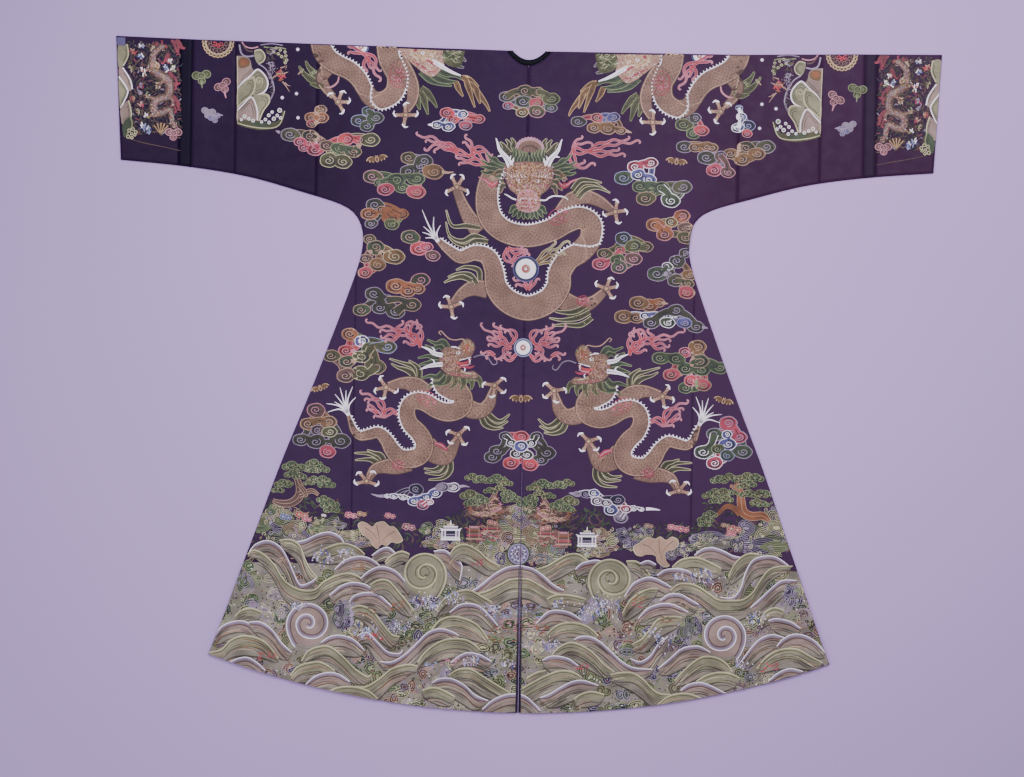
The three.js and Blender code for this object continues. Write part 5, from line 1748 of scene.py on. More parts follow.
# The large dragon on the breast, head to the front.
def breastDragon():
    flame(sheet, [[(-121, 225), (-147, 215), (-173, 205), (-203, 189), (-230, 185)],
                  [(-147, 217), (-160, 205), (-185, 203), (-211, 212)],
                  [(-89, 238), (-113, 217), (-122, 200), (-131, 187)],
                  [(-87, 244), (-109, 236), (-130, 236), (-147, 232)],
                  [(-121, 225), (-105, 210), (-88, 214), (-79, 231)]], "rose", "pink")
    flame(sheet, [[(131, 209), (150, 198), (179, 191), (205, 188), (232, 186)],
                  [(131, 211), (154, 214), (179, 212), (201, 214)],
                  [(131, 209), (112, 211), (99, 203), (107, 190), (132, 192)],
                  [(99, 203), (95, 224), (108, 241), (137, 236)]], "rose", "pink")
    limb(sheet, [(-98, 384), (-119, 357), (-135, 327), (-148, 296)], (36, 30, 22, 17), 1)
    paw(Pen(-148, 290), (58, 118, 205, -20), 19)
    tuft(sheet, [[(-85, 401), (-110, 393), (-135, 404), (-161, 394), (-170, 364)],
                 [(-80, 405), (-106, 403), (-127, 414), (-150, 408), (-165, 394)],
                 [(-98, 376), (-127, 372), (-157, 372), (-170, 339)]], "olive", "cream", 6)
    limb(sheet, [(76, 343), (96, 313), (126, 306), (156, 316), (181, 333)], (36, 32, 28, 22, 14), -1)
    paw(Pen(188, 337), (80, 8, -78, 200), 18)
    tuft(sheet, [[(100, 300), (117, 279), (142, 278), (168, 291)],
                 [(109, 309), (126, 291), (151, 287), (177, 297)],
                 [(96, 292), (113, 272), (138, 272), (159, 276)]], "olive", "cream", 6)
    limb(sheet, [(-79, 507), (-108, 503), (-134, 516), (-154, 540)], (34, 32, 22, 14), 1)
    paw(Pen(-156, 544), (110, 178, -80, 22), 18)
    tuft(sheet, [[(-102, 494), (-117, 476), (-143, 474), (-164, 481)],
                 [(-113, 488), (-134, 480), (-155, 485), (-172, 493)],
                 [(-96, 486), (-100, 465), (-126, 459), (-147, 466)]], "olive", "cream", 6.5)
    limb(sheet, [(79, 525), (113, 538), (142, 529), (167, 507)], (38, 34, 24, 15), -1)
    paw(Pen(172, 500), (12, 72, -58, 160), 18)
    tuft(sheet, [[(138, 550), (113, 563), (79, 568), (52, 564)],
                 [(130, 537), (105, 550), (75, 551), (54, 545)],
                 [(143, 562), (118, 578), (84, 578), (58, 581)]], "olive", "cream", 6.5)
    serpent(sheet, [(-64, 244), (-80, 278), (-84, 322), (-73, 358), (-42, 383), (4, 391), (51, 379),
                    (84, 360), (114, 351), (137, 365), (136, 397), (115, 423), (90, 440), (73, 468),
                    (70, 498), (49, 528), (7, 544), (-34, 531), (-60, 502), (-67, 464), (-80, 437),
                    (-107, 429), (-137, 438), (-163, 423), (-186, 403)],
            (34, 42, 47, 48, 47, 47, 47, 48, 46, 46, 46, 46, 46, 48, 50, 51, 52, 50, 46, 40, 36, 32, 27, 20,
             12),
            [-1] * 10 + [-0.9, 0.9] + [1] * 13)
    tailFan(Pen(-186, 405, turn=128), ((-46, 34), (-27, 52), (-10, 74), (8, 44), (24, 38), (40, 28)))
    shoulderPatch(sheet, 71, 347, 26, 17, -28)
    shoulderPatch(sheet, 125, 527, 15, 11, 0)
    flame(sheet, [[(-38, 417), (-42, 434), (-29, 449)], [(-38, 417), (-21, 425), (-4, 421)],
                  [(-29, 447), (-16, 434), (1, 429)]],
          "rose", "pink", 5)
    flame(sheet, [[(22, 446), (39, 433), (51, 420), (85, 402)], [(27, 450), (52, 437), (73, 424)]], "ochre",
          "cream", 6)
    flame(sheet, [[(6, 505), (-2, 493), (-20, 487)], [(6, 505), (15, 492), (19, 484)]], "rose", "pink", 5)
    pearl(Pen(1, 461), 21)
    frontHead(Pen(3, 283))


# The two striding dragons on the skirt, facing each other.
def stridingDragon(pen):
    flame(pen, [[(-219, 632), (-226, 615), (-238, 606), (-261, 600), (-284, 593), (-307, 591), (-332, 582)],
                [(-238, 606), (-246, 592), (-240, 580), (-223, 582)],
                [(-261, 601), (-268, 593), (-259, 589), (-253, 584)],
                [(-264, 604), (-276, 612), (-285, 610), (-297, 612)],
                [(-219, 632), (-222, 615), (-219, 596), (-226, 588)],
                [(-226, 619), (-237, 623), (-249, 612)]], "rose", "pink", 5)
    flame(pen, [[(-263, 775), (-277, 767), (-286, 770), (-294, 778), (-309, 773), (-325, 762)],
                [(-294, 775), (-298, 758), (-306, 747), (-323, 739), (-341, 731)],
                [(-309, 773), (-315, 766), (-327, 758)]], "rose", "pink", 5)
    tuft(pen, [[(-224, 705), (-225, 684), (-236, 671), (-256, 665), (-285, 656)],
               [(-232, 703), (-236, 688), (-250, 679), (-267, 674), (-281, 666)],
               [(-221, 699), (-221, 680), (-229, 669), (-244, 659)]], "olive", "cream", 7)
    limb(pen, [(-205, 730), (-228, 712), (-255, 707), (-286, 714)], (38, 34, 24, 16), 1)
    paw(pen.inside(-291, 717), (100, 168, 235, 25), 18)
    tuft(pen, [[(-85, 762), (-74, 785), (-54, 794), (-31, 784)],
               [(-82, 758), (-66, 777), (-47, 784), (-28, 769)],
               [(-89, 770), (-81, 791), (-62, 800), (-41, 798)]], "olive", "cream", 7)
    limb(pen, [(-128, 751), (-105, 762), (-85, 761), (-72, 747), (-67, 731), (-61, 712)],
         (40, 36, 30, 25, 19, 14), -1)
    paw(pen.inside(-61, 709), (96, 40, -42, 190), 18)
    tuft(pen, [[(-157, 859), (-160, 882), (-175, 898), (-206, 896)],
               [(-153, 863), (-152, 890), (-167, 907), (-198, 911)],
               [(-164, 863), (-172, 882), (-187, 890), (-208, 887)]], "olive", "cream", 7)
    limb(pen, [(-203, 841), (-184, 856), (-166, 863), (-155, 856), (-146, 840), (-137, 818)],
         (46, 40, 32, 27, 20, 14), -1)
    pen.band("rose", [(-188, 833), (-172, 838), (-159, 848)], [4, 12, 6], 4)
    pen.band("pink", [(-186, 833), (-172, 837), (-161, 846)], [1.4, 3, 1.6], 4)
    paw(pen.inside(-136, 815), (130, 60, -45, 200), 18)
    tuft(pen, [[(-296, 881), (-306, 865), (-325, 858), (-356, 857)],
               [(-302, 883), (-314, 873), (-329, 870), (-354, 872)],
               [(-290, 877), (-300, 861), (-314, 856), (-329, 850)]], "olive", "cream", 7)
    limb(pen, [(-241, 872), (-267, 882), (-294, 885), (-313, 892), (-325, 912)], (44, 36, 27, 21, 13), 1)
    paw(pen.inside(-329, 916), (165, 230, -60, 20), 18)
    serpent(pen, [(-164, 687), (-159, 704), (-144, 720), (-128, 737), (-132, 757), (-156, 767), (-181, 762),
                  (-204, 749), (-225, 744), (-241, 752), (-246, 772), (-238, 794), (-220, 812), (-208, 834),
                  (-214, 857), (-234, 867), (-259, 865), (-276, 848), (-288, 828), (-305, 813), (-326, 817),
                  (-344, 820), (-357, 809), (-364, 792), (-369, 778)],
            (58, 64, 52, 41, 40, 39, 38, 37, 35, 33, 34, 35, 37, 38, 38, 39, 37, 33, 28, 24, 22, 19, 15, 11,
             7),
            [1] * 25)
    tailFan(pen.inside(-370, 776, turn=-112), ((-62, 44), (-42, 52), (-26, 40), (-12, 52), (4, 60),
                                               (16, 52), (30, 60), (44, 40)))
    shoulderPatch(pen, -201, 741, 26, 15, 32)
    shoulderPatch(pen, -260, 880, 15, 10, 0)
    sideHead(Pen(*pen.at((-145, 660))[0], flip=float(np.sign(pen.matrix[0, 0]))))


breastDragon()
stridingDragon(sheet)
stridingDragon(Pen(4, 9, flip=-1, matrix=np.eye(2)))
pearl(Pen(-2, 628), 15, "paleBlue")
for side in (1, -1):
    flame(Pen(-2, 628, flip=side), [[(22, 10), (34, 6), (48, 20), (62, 22), (88, 42)],
          [(40, 12), (54, 6), (72, 14)], [(24, 8), (18, 22), (26, 34), (44, 38)],
          [(48, 20), (50, 32), (62, 40)],
          [(14, -14), (26, -24), (38, -18), (52, -24)], [(24, 0), (38, -4), (36, -14)],
          [(60, -18), (70, -12), (80, -16)]],
          "rose", "pink", 4.4)
for x, drop, size, turn in ((-5, 738, 0.85, 0), (-318, 235, 0.8, 12), (316, 230, 0.8, -8),
                            (-430, 722, 0.7, 20),
                            (424, 735, 0.75, -16)):
    bat(Pen(x, drop, size, turn))
print("dragons drawn:", sum(len(heap["points"]) for heap in stock.values()), "shapes")


# The dragons that ride over the shoulders, cut by the fold along the top.
def shoulderDragon(pen):
    pearl(pen.inside(-356, -4), 13)
    flame(pen, [[(-354, 9), (-339, 17), (-328, 27), (-326, 42), (-315, 61)],
                [(-339, 17), (-345, 30), (-341, 45)], [(-354, 9), (-367, 5), (-380, 1)]], "rose", "pink", 6)
    tuft(pen, [[(-438, 72), (-459, 68), (-476, 55), (-487, 39)],
               [(-438, 67), (-453, 55), (-466, 42), (-473, 28)], [(-429, 76), (-446, 80), (-463, 76)]],
               "olive", "paleGreen", 9)
    limb(pen, [(-421, 37), (-438, 63), (-427, 88), (-412, 103)], (30, 24, 17, 12), 1)
    pen.band("pink", [(-402, 54), (-404, 71), (-416, 82), (-429, 84)], [2, 4, 4, 2], 4)
    paw(pen.inside(-403, 114), (-70, 0, 60, -130), 18)
    tuft(pen, [[(-228, 81), (-213, 93), (-200, 110), (-193, 123)],
               [(-230, 89), (-221, 106), (-216, 123), (-212, 138)], [(-238, 94), (-234, 111), (-229, 128)]],
               "olive", "paleGreen", 9)
    serpent(pen, [(-442, -26), (-439, 0), (-426, 21), (-405, 35), (-379, 47), (-360, 64), (-346, 87),
                  (-333, 104), (-314, 110), (-293, 101), (-281, 84), (-279, 58), (-288, 37), (-297, 16),
                  (-302, -24)],
            (42, 42, 42, 41, 39, 36, 34, 35, 36, 38, 40, 42, 44, 45, 45),
            [-1] * 6 + [-0.95, 0.1, 1] + [1] * 6)
    limb(pen, [(-278, 22), (-258, 52), (-245, 81), (-246, 107), (-257, 130)], (34, 32, 26, 21, 13), -1)
    paw(pen.inside(-259, 139), (-95, 0, 178, 100), 18)
    shoulderPatch(pen, -275, 56, 20, 26, 0)
    tuft(pen, [[(-230, 47), (-209, 64), (-188, 72), (-162, 76)],
               [(-209, 51), (-188, 63), (-166, 67), (-150, 67)],
               [(-197, 42), (-175, 50), (-154, 54), (-141, 62)]], "green", "paleGreen", 8)
    tuft(pen, [[(-189, 12), (-167, 21), (-150, 33), (-137, 37)],
               [(-189, 0), (-163, 3), (-146, 12), (-133, 24)]], "olive", "lilac", 9)
    pen.patch("olive", [(-189, -22), (-189, 12), (-171, 33), (-146, 35), (-138, 12), (-138, -22)], 3)
    flecks(pen, [(-189, -17), (-188, 21), (-146, 29), (-140, -14)],
           (("paleGreen", 3), ("cream", 2), ("green", 3)), 5, 10, 1.8, 41)
    outline = [(-272, -20), (-271, 10), (-256, 22), (-239, 37), (-220, 51), (-203, 57), (-190, 46),
               (-180, 31), (-184, 12), (-180, -5), (-183, -22)]
    pen.patch("brown", np.mean(outline, axis=0) + (np.array(outline) - np.mean(outline, axis=0)) * 1.04, 3)
    pen.patch("tan", outline, 3)
    pen.patch("goldScale", [(-253, -12), (-252, 9), (-235, 22), (-210, 25), (-197, 4), (-202, -13)], 3)
    freckles(pen, outline, ("goldLight", "pink", "white", "rose", "ochre"), 4.6, 0.95, 43)
    pen.band("rose", [(-248, 26), (-226, 36), (-205, 47), (-192, 42)], [2, 4, 3, 1], 4)
    pen.band("white", [(-205, 21), (-193, 27), (-180, 33)], [4, 5, 4], 4)
    pen.band("rose", [(-218, 21), (-201, 30), (-184, 38)], [4, 6, 3], 4)
    pen.band("white", [(-201, 25), (-180, 38), (-160, 48), (-143, 54)], [10, 8, 6, 2], 4)
    pen.band("lilac", [(-197, 29), (-175, 42)], [2, 1])
    pen.disc("white", -225, 7, 4.4, 3)
    pen.disc("brown", -225, 7, 1.8, corners=8)
    pen.disc("rose", -240, 1, 4)
    for spot in [(-248, -8), (-231, -12), (-214, -11), (-244, 18), (-202, -4), (-193, -13)]:
        pen.disc("goldLight", *spot, 3, corners=9)
    tuft(pen, [[(-154, 67), (-147, 84), (-138, 98)], [(-141, 58), (-124, 62), (-105, 77)],
               [(-133, 62), (-124, 88), (-113, 121)], [(-120, 71), (-102, 96), (-89, 113), (-81, 129)],
               [(-111, 79), (-107, 96), (-102, 113)]], "ochre", "goldLight", 7)


shoulderDragon(sheet)
shoulderDragon(Pen(5, 7, flip=-1, matrix=np.eye(2)))
print("shoulders drawn")


# The sleeves: a panel of water, a stretch of small clouds, and the crowded cuff.
def leafWave(pen, outline, crest, fill, line="cream", width=2.8):
    # One rounded wave standing on end: its body, two hollows and the crest along its edge.
    pen.patch(fill, outline, 3)
    body = catmull(crest, 5)
    middle = np.array(outline, float).mean(axis=0)
    for pull in (0.22, 0.42):
        pen.band("oliveDark", body + (middle - body) * pull, 1.1)
    pen.band(line, body, width)


def bow(pen, x, drop, r, fill, line, turn=0):
    # A small cloud of four curls.
    spot = pen.inside(x, drop, turn=turn)
    for cx, cy, k in ((-0.62, -0.1, 0.55), (0.6, -0.3, 0.55), (0.05, 0.55, 0.45), (0.0, -0.1, 0.42)):
        spot.disc(line, cx * r, cy * r, k * r + 0.9, k * r * 0.86 + 0.9, corners=13)
        spot.disc(fill, cx * r, cy * r, k * r - 0.6, k * r * 0.86 - 0.6, corners=13)
        spot.curl(line, cx * r, cy * r, k * r * 0.55, 1.2, 120 * cx, 1, 1.1)


def scraps(pen, x, drop, r, colours, seed, count=9):
    # A crowded little motif seen small: short strokes and knots in two or three colours.
    rng = random.Random(seed)
    for k in range(count):
        a, d = rng.uniform(0, 2 * math.pi), r * rng.uniform(0.1, 0.8)
        cx, cy = x + d * math.cos(a), drop + d * math.sin(a)
        way = wedge(rng.uniform(0, 360), r * 0.4)
        pen.band(colours[k % len(colours)], [(cx - way[0], cy - way[1]),
                                             (cx + way[0] * 0.3, cy + way[1] * 0.8),
                                             (cx + way[0], cy + way[1])], [1.8, 2.9, 1], 2)
    pen.mark("knots", colours[-1], [(x + rng.gauss(0, r * 0.5),
                                     drop + rng.gauss(0, r * 0.5)) for _ in range(5)], 0, 0.9)


def sleeveWork(pen):
    # The panel of water, from its straight outer edge.
    leafWave(pen, [(-617, 26), (-614, 20), (-599, 22), (-590, 29), (-587, 43), (-582, 54), (-596, 69),
                   (-616, 91)],
             [(-616, 91), (-606, 76), (-594, 66), (-575, 48)], "waterBrown", "white", 2.4)
    pen.patch("ochre", [(-615, 27), (-602, 23), (-591, 30), (-593, 41), (-606, 46), (-614, 44)], 3)
    pen.patch("orange", [(-611, 29), (-602, 27), (-596, 31), (-598, 37), (-608, 40)], 3)
    leafWave(pen, [(-588, 65), (-574, 49), (-557, 64), (-552, 81), (-560, 97), (-580, 107), (-587, 85)],
             [(-585, 57), (-573, 48), (-557, 63), (-552, 80), (-560, 96), (-581, 106)], "water", "white")
    pen.curl("cream", -571, 72, 9, 1.3, 40, -1, 1.7)
    leafWave(pen, [(-616, 92), (-599, 72), (-583, 64), (-579, 83), (-586, 103), (-605, 118), (-616, 130)],
             [(-595, 69), (-583, 65), (-579, 83), (-586, 102), (-605, 118), (-616, 130)], "water")
    leafWave(pen, [(-586, 107), (-552, 100), (-548, 115), (-562, 137), (-569, 156), (-575, 156), (-574, 132)],
             [(-565, 100), (-552, 102), (-548, 116), (-561, 136), (-569, 157)], "water", "cream")
    leafWave(pen, [(-616, 135), (-604, 123), (-586, 107), (-574, 132), (-573, 155), (-595, 161), (-615, 159)],
             [(-616, 136), (-604, 123), (-586, 107), (-574, 132), (-573, 155)], "waterBrown", "white", 2.4)
    leafWave(pen, [(-582, 9), (-569, 6), (-559, 19), (-563, 31), (-573, 36), (-580, 26)],
             [(-582, 9), (-569, 6), (-559, 19), (-563, 31), (-573, 36)],
             "water", "cream", 2.2)
    for path, colour, width in (([(-614, -4), (-609, 15), (-597, 21), (-583, 19)], "lilac", 3.4),
                                ([(-609, -11), (-602, -1), (-588, 3), (-574, 0)], "pink", 2.6),
                                ([(-607, -5), (-597, 8), (-585, 10)], "brown", 3),
                                ([(-573, 36), (-557, 47), (-547, 66)], "lilac", 2.4),
                                ([(-549, 54), (-542, 73), (-539, 94), (-547, 113)], "mauve", 3.2),
                                ([(-546, 61), (-540, 78), (-538, 94)], "lilac", 1.6),
                                ([(-569, -4), (-546, -7), (-522, -4)], "lilac", 1.8),
                                ([(-562, 0), (-543, 2), (-527, 1), (-515, 4)], "paleGreen", 2.4),
                                ([(-557, 10), (-541, 12), (-529, 16)], "olive", 5),
                                ([(-529, 16), (-519, 23), (-517, 33)], "olive", 6),
                                ([(-618, 20), (-616, 86), (-615, 160)], "cream", 1.8)):
        pen.band(colour, path, width, 5)
    for x, drop in [(-536, 2), (-527, 6), (-517, 10), (-515, 18), (-513, 27), (-516, 33), (-541, 10),
                    (-531, 14), (-524, 20)]:
        pen.disc("cream", x, drop, 3.2, corners=9)
        pen.disc("green", x, drop, 1.8, corners=8)
    pen.band("olive", [(-615, 159), (-595, 164), (-566, 168), (-543, 167), (-526, 159), (-517, 136)],
             [12, 16, 17, 14, 10, 5], 5)
    pen.band("green", [(-585, 161), (-566, 166), (-548, 165)], [6, 9, 5], 4)
    pen.band("cream", [(-615, 162), (-595, 168), (-566, 172), (-538, 171), (-524, 161), (-515, 135)],
             [1.5, 2, 2, 2, 2, 1.5], 5)
    for x, drop, r in [
    (-600, 148, 4), (-591, 153, 3.4), (-607, 155, 3), (-582, 157, 3.6), (-542, 138, 3.4),
    (-549, 145, 3.8), (-538, 152, 4.4), (-556, 154, 3.6), (-526, 134, 5), (-531, 145, 3.6),
    (-524, 150, 3.4), (-548, 160, 3.6), (-564, 159, 3.2)]:
        pen.disc("white", x, drop, r, corners=10)
        pen.disc("paleGreen", x, drop, r - 1.5, corners=8)
    scraps(pen, -526, 59, 13, ("red", "orange", "red", "orange", "tan"), 3, 16)
    for path in ([(-526, 44), (-519, 42), (-512, 39)], [(-519, 56), (-509, 52)],
                 [(-537, 61), (-542, 66), (-544, 73)],
                 [(-521, 73), (-514, 82), (-506, 94)], [(-516, 75), (-511, 80), (-504, 82)]):
        pen.band("tan", path, [3, 2, 0.8], 3)
    scraps(pen, -546, 40, 9, ("mauve", "oliveDark", "lilac"), 5, 7)
    scraps(pen, -481, 53, 9, ("paleGreen", "olive", "tan"), 6, 7)
    for x, drop in [(-490, 4), (-491, 98), (-487, 149), (-521, 107)]:
        pen.disc("lilac", x, drop, 4, corners=10)
        pen.disc("white", x, drop, 2.8, corners=9)
    flecks(pen, [(-553, -2), (-538, 2), (-540, 49), (-537, 103), (-547, 113), (-550, 71), (-557, 43)],
           (("mauve", 4), ("oliveDark", 3), ("lilac", 1),
           ("brown", 3)), 7, 12, 2, 53, 90)
    # Small clouds on the fore-sleeve, with half a gold roundel at the fold.
    roundel = pen.inside(-659, -9)
    for a in range(0, 181, 15):
        spot = wedge(a, 29)
        roundel.disc("goldLight", *spot, 5.2, corners=11)
        roundel.disc("goldDark", *spot, 3, corners=9)
        roundel.disc("cream", *(spot * 0.93), 1.5, corners=7)
    for a in range(8, 181, 24):
        roundel.curl("gold", *wedge(a, 18), 6, 1.2, a, 1, 1.8)
    for a in (40, 90, 140):
        roundel.curl("red", *wedge(a, 9), 6, 1.2, a + 90, 1, 2)
    bow(pen, -693, 65, 17, "olive", "paleGreen")
    pen.band("paleGreen", [(-693, 75), (-691, 90)], [5, 1.5])
    bow(pen, -647, 84, 16, "brown", "pink", -25)
    pen.band("pink", [(-644, 96), (-640, 110)], [5, 2])
    bow(pen, -677, 141, 13, "mauve", "lilac", 20)
    bow(pen, -664, 152, 11, "blue", "lilac", -10)
    pen.band("lilac", [(-666, 150), (-654, 146), (-646, 147)], [5, 5, 1.5], 3)
    # The cuff: waves along its mouth, motifs, and a small upright dragon, on crowded floss.
    flecks(pen, [(-852, -7), (-798, -5), (-739, -4), (-735, 140), (-736, 194), (-849, 184)],
           (("brown", 4), ("shade", 14), ("mauve", 1.2), ("wine", 2),
           ("goldDark", 10), ("oliveDark", 6), ("olive", 1)), 6.4, 10, 3.4, 51, 90)
    for outline, crest, fill, line in (
            ([(-871, 1), (-852, 0), (-849, 24), (-859, 45), (-869, 48)],
             [(-852, -1), (-849, 22), (-859, 45)], "water", "cream"),
            ([(-868, 49), (-858, 50), (-844, 76), (-839, 94), (-855, 99), (-867, 71)],
             [(-860, 49), (-844, 74), (-839, 94)], "waterBrown", "white"),
            ([(-868, 69), (-853, 90), (-849, 104), (-863, 135), (-866, 118)],
             [(-868, 68), (-852, 90), (-849, 104), (-863, 135)], "water", "white"),
            ([(-863, 135), (-846, 118), (-841, 139), (-842, 156), (-858, 169), (-862, 156)],
             [(-847, 118), (-841, 139), (-842, 156), (-858, 169)], "waterBrown", "cream"),
            ([(-858, 169), (-842, 152), (-838, 172), (-848, 189), (-854, 197), (-857, 189)],
             [(-842, 151), (-838, 172), (-849, 190)], "green", "paleGreen")):
        leafWave(pen, outline, crest, fill, line, 2.6)
    for x, drop, r in [
    (-844, 182, 4), (-836, 179, 4), (-830, 185, 4), (-839, 189, 3.4), (-832, 191, 3.4),
    (-846, 195, 4.5), (-838, 197, 3.5)]:
        pen.disc("cream", x, drop, r, corners=10)
        pen.disc("olive", x, drop, r - 1.6, corners=8)
    for x, drop, r, seed, *colours in [
    (-839, 14, 9, 1, "red", "rose", "tan"), (-822, 2, 7, 2, "white", "paleBlue", "lilac"),
    (-822, 23, 7, 3, "paleBlue", "white", "blue"), (-842, 51, 9, 4, "tan", "paleGreen", "olive"),
    (-815, 56, 10, 5, "white", "cream", "rose"), (-821, 87, 8, 6, "mauve", "lilac", "rose"),
    (-822, 101, 7, 7, "mauve", "brown", "lilac"), (-838, 113, 7, 8, "rose", "orange", "tan"),
    (-819, 127, 9, 9, "tan", "pink", "rose"), (-825, 141, 8, 10, "tan", "paleGreen", "olive"),
    (-807, 150, 8, 11, "white", "orange", "paleGreen"),
    (-812, 172, 12, 12, "white", "blue", "paleBlue"),
    (-804, 181, 9, 13, "paleBlue", "lilac", "blue"), (-769, 48, 9, 14, "white", "paleBlue", "blue"),
    (-754, 48, 9, 15, "white", "cream", "paleGreen"), (-798, 7, 9, 16, "tan", "olive", "cream"),
    (-781, 6, 8, 17, "cream", "white", "tan"), (-805, 108, 9, 18, "green", "paleGreen", "tan"),
    (-784, 86, 9, 19, "cream", "tan", "orange"), (-797, 30, 8, 20, "olive", "tan", "cream"),
    (-762, 32, 8, 21, "white", "red", "tan")]:
        scraps(pen, x, drop, r, colours, seed, 10)
    for path in ([(-758, -11), (-748, -1), (-741, 10)], [(-748, -13), (-741, -4), (-739, 6)],
                 [(-762, 18), (-767, 25), (-769, 34)],
                 [(-761, 55), (-754, 69), (-747, 86)], [(-757, 65), (-758, 77), (-751, 88)],
                 [(-758, 114), (-750, 112), (-745, 126), (-746, 138)],
                 [(-753, 107), (-746, 116), (-748, 126)], [(-791, -5), (-786, 2), (-776, -1)]):
        flame(pen, [path], "wine", "rose", 4.6, 1.0)
    body = catmull([(-776, 1), (-793, 16), (-798, 35), (-797, 51), (-782, 63), (-766, 72), (-760, 88),
                    (-763, 107), (-779, 113), (-791, 122), (-793, 136), (-783, 145), (-769, 140),
                    (-760, 136), (-755, 150), (-753, 164), (-745, 173)], 6)
    width = np.interp(np.linspace(0, 1, len(body)), [0, 0.3, 0.8, 1], [12, 18, 14, 4])
    pen.band("goldDark", body, width + 2)
    pen.band("brown", body, width * 0.98)
    pen.band("gold", body + (1.2, 0), width * 0.6)
    pen.band("mauve", body + (3.4, 0), width * 0.16)
    mottle = random.Random(8)
    for colour in ("tan", "lilac", "goldLight", "rose", "cream", "tan", "mauve"):
        pen.mark("knots", colour, body[::2] + [(mottle.gauss(0, 3.4),
                                                mottle.gauss(0, 2)) for _ in body[::2]], 0, 1.0)
    for path in ([(-792, 44), (-801, 54), (-809, 49)], [(-768, 74), (-777, 79), (-784, 91)],
                 [(-784, 117), (-796, 113), (-805, 108)],
                 [(-779, 141), (-788, 150), (-798, 148)], [(-763, 107), (-753, 117), (-755, 128)]):
        pen.band("gold", path, [8, 6, 3], 4)
        pen.mark("knots", "tan", path[1:], 0, 1.3)
        pen.mark("knots", "white", [path[-1], (path[-1][0] + 3, path[-1][1] - 2)], 0, 1)
    pen.disc("tan", -791, 44, 10, 8)
    pen.disc("orange", -791, 44, 6, 5)
    pen.disc("ochre", -793, 51, 7, 6)
    scraps(pen, -791, 39, 8, ("orange", "ochre", "cream", "tan"), 31, 8)
    for a in (-40, -20, 0, 20, 40):
        fan = pen.inside(-777, 188)
        fan.band("ochre", [(0, 0), wedge(a - 90, 24)], [2, 4])
        fan.band("goldLight", [(0, 0), wedge(a - 90, 23)], [0.6, 1.4])
    bow(pen, -750, 187, 15, "brown", "pink", 10)
    pen.band("brown", [(-846, 199), (-811, 208), (-773, 215), (-735, 223)], [0.8, 1.5, 1.5, 1.2], 4)


sleeveWork(sheet)
sleeveWork(Pen(4, 6, flip=-1, matrix=np.eye(2)))
print("sleeves drawn")


# The pieces of cloth.
silks = {
    # The ground's warm colour is painted light, laid on towards the right.
    "ground": {"deep": (0.011, 0.0032, 0.022), "faded": (0.024, 0.0065, 0.037), "worn": (0.037, 0.0175, 0.05),
               "sleeve": (0.0045, 0.0012, 0.0085), "warmPaintedLight": (0.042, 0.013, 0.042),
               "thread": (0.036, 0.014, 0.05)},
    "dark": (0.0042, 0.0018, 0.011), "paintedLightBand": (0.019, 0.009, 0.025), "binding": (0.003, 0.0035, 0.006),
    "lining": (0.075, 0.062, 0.14),
}
ground = groundSilk("figuredPurpleSatin", silks["ground"])
dark = plainSilk("darkSatin", silks["dark"], 0.5)
# A lighter copy of the dark satin: painted light on the right sleeve's band.
paintedLightBand = plainSilk("darkSatinPaintedLight", silks["paintedLightBand"], 0.5)
binding = plainSilk("blackBinding", silks["binding"], 0.55)
liningSilk = plainSilk("paleBlueLining", silks["lining"], 0.5)
pitch = {"upper": 7.0, "lower": 22.0}
cloths = []


def clothPiece(name, sides, finish, inner=liningSilk):
    piece = wallObject(name + "_silk", sides, finish, inner)
    flatMap(piece)
    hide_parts(name)
    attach(piece, "root")
    cloths.append(piece)
    return piece


for suffix, sign in (("right", 1), ("left", -1)):
    columns = int(cut["sleeveSeam"] / pitch["upper"])
    sides = folded(bodyGrid(sign, cut["neckBackDrop"], backEdge, pitch["upper"], columns),
                   bodyGrid(sign, cut["neckFrontDrop"], frontEdge, pitch["lower"], columns))
    # The body's lining is the dark satin: a dark facing, and painted shade where it shows through the vent.
    clothPiece("body_" + suffix, sides, ground, dark)
    gore = goreGrid(sign, pitch["lower"])
    under = clothPiece("front_gore_" + suffix, frontLayer(gore), ground)
    gore = goreGrid(sign, pitch["upper"])
    clothPiece("back_gore_" + suffix, backLayer(gore), ground)
    for name, start, end in sleevePieces:
        grid = sleeveGrid(sign, start, end, pitch["upper"])
        finish, slotName = ground, "ground_silk"
        if name == "sleeve_band":
            # The right sleeve's band is the dark satin painted lighter: painted light, as the light falls
            # from the right.
            finish, slotName = (dark if sign < 0 else paintedLightBand), "dark_silk"
        clothPiece(f"{name}_{suffix}", folded(grid, grid), finish)
clothPiece("neck_binding", bindingSides(), binding)
clothPiece("lining_corner_left", turnOutSides(), liningSilk)
print("cloth laid:", len(cloths), "pieces")


def layFloor():
    floorSize = {"half": 3.2, "z": -0.0005}
    h, z = floorSize["half"], floorSize["z"]
    paper = Finish("palePaper", 0.8, 0.15)
    soft = paper.between(paper.noise(1.1, 2.0), 0.3, 0.7)
    grain = paper.noise(300, 2.0)
    base = paper.blend(soft, (0.42, 0.285, 0.57), (0.435, 0.295, 0.59))
    # Painted light: the paper is painted lightest above the middle and falls off to darker corners.
    side = paper.node("ShaderNodeSeparateXYZ", {}, {0: paper.where}, "X")
    high = paper.node("ShaderNodeSeparateXYZ", {}, {0: paper.where}, "Y")
    x, y = (side - 0.2) * 0.85, (high - 0.3) * 0.6
    away = paper.node("ShaderNodeMath", {"operation": "SQRT"}, {0: x * x + y * y}) - side * high * 0.2
    base = paper.blend(paper.between(away, 0.2, 1.4, False), base, (0.275, 0.2, 0.405))
    paper.feed("Base Color", paper.blend(grain * 0.08, base, (0.5, 0.36, 0.66)))
    floor = meshObject("floor", [(-h, -h, z), (h, -h, z), (h, h, z), (-h, h, z)], [(0, 1, 2, 3)],
                       [paper.material], smooth=False)


layFloor()


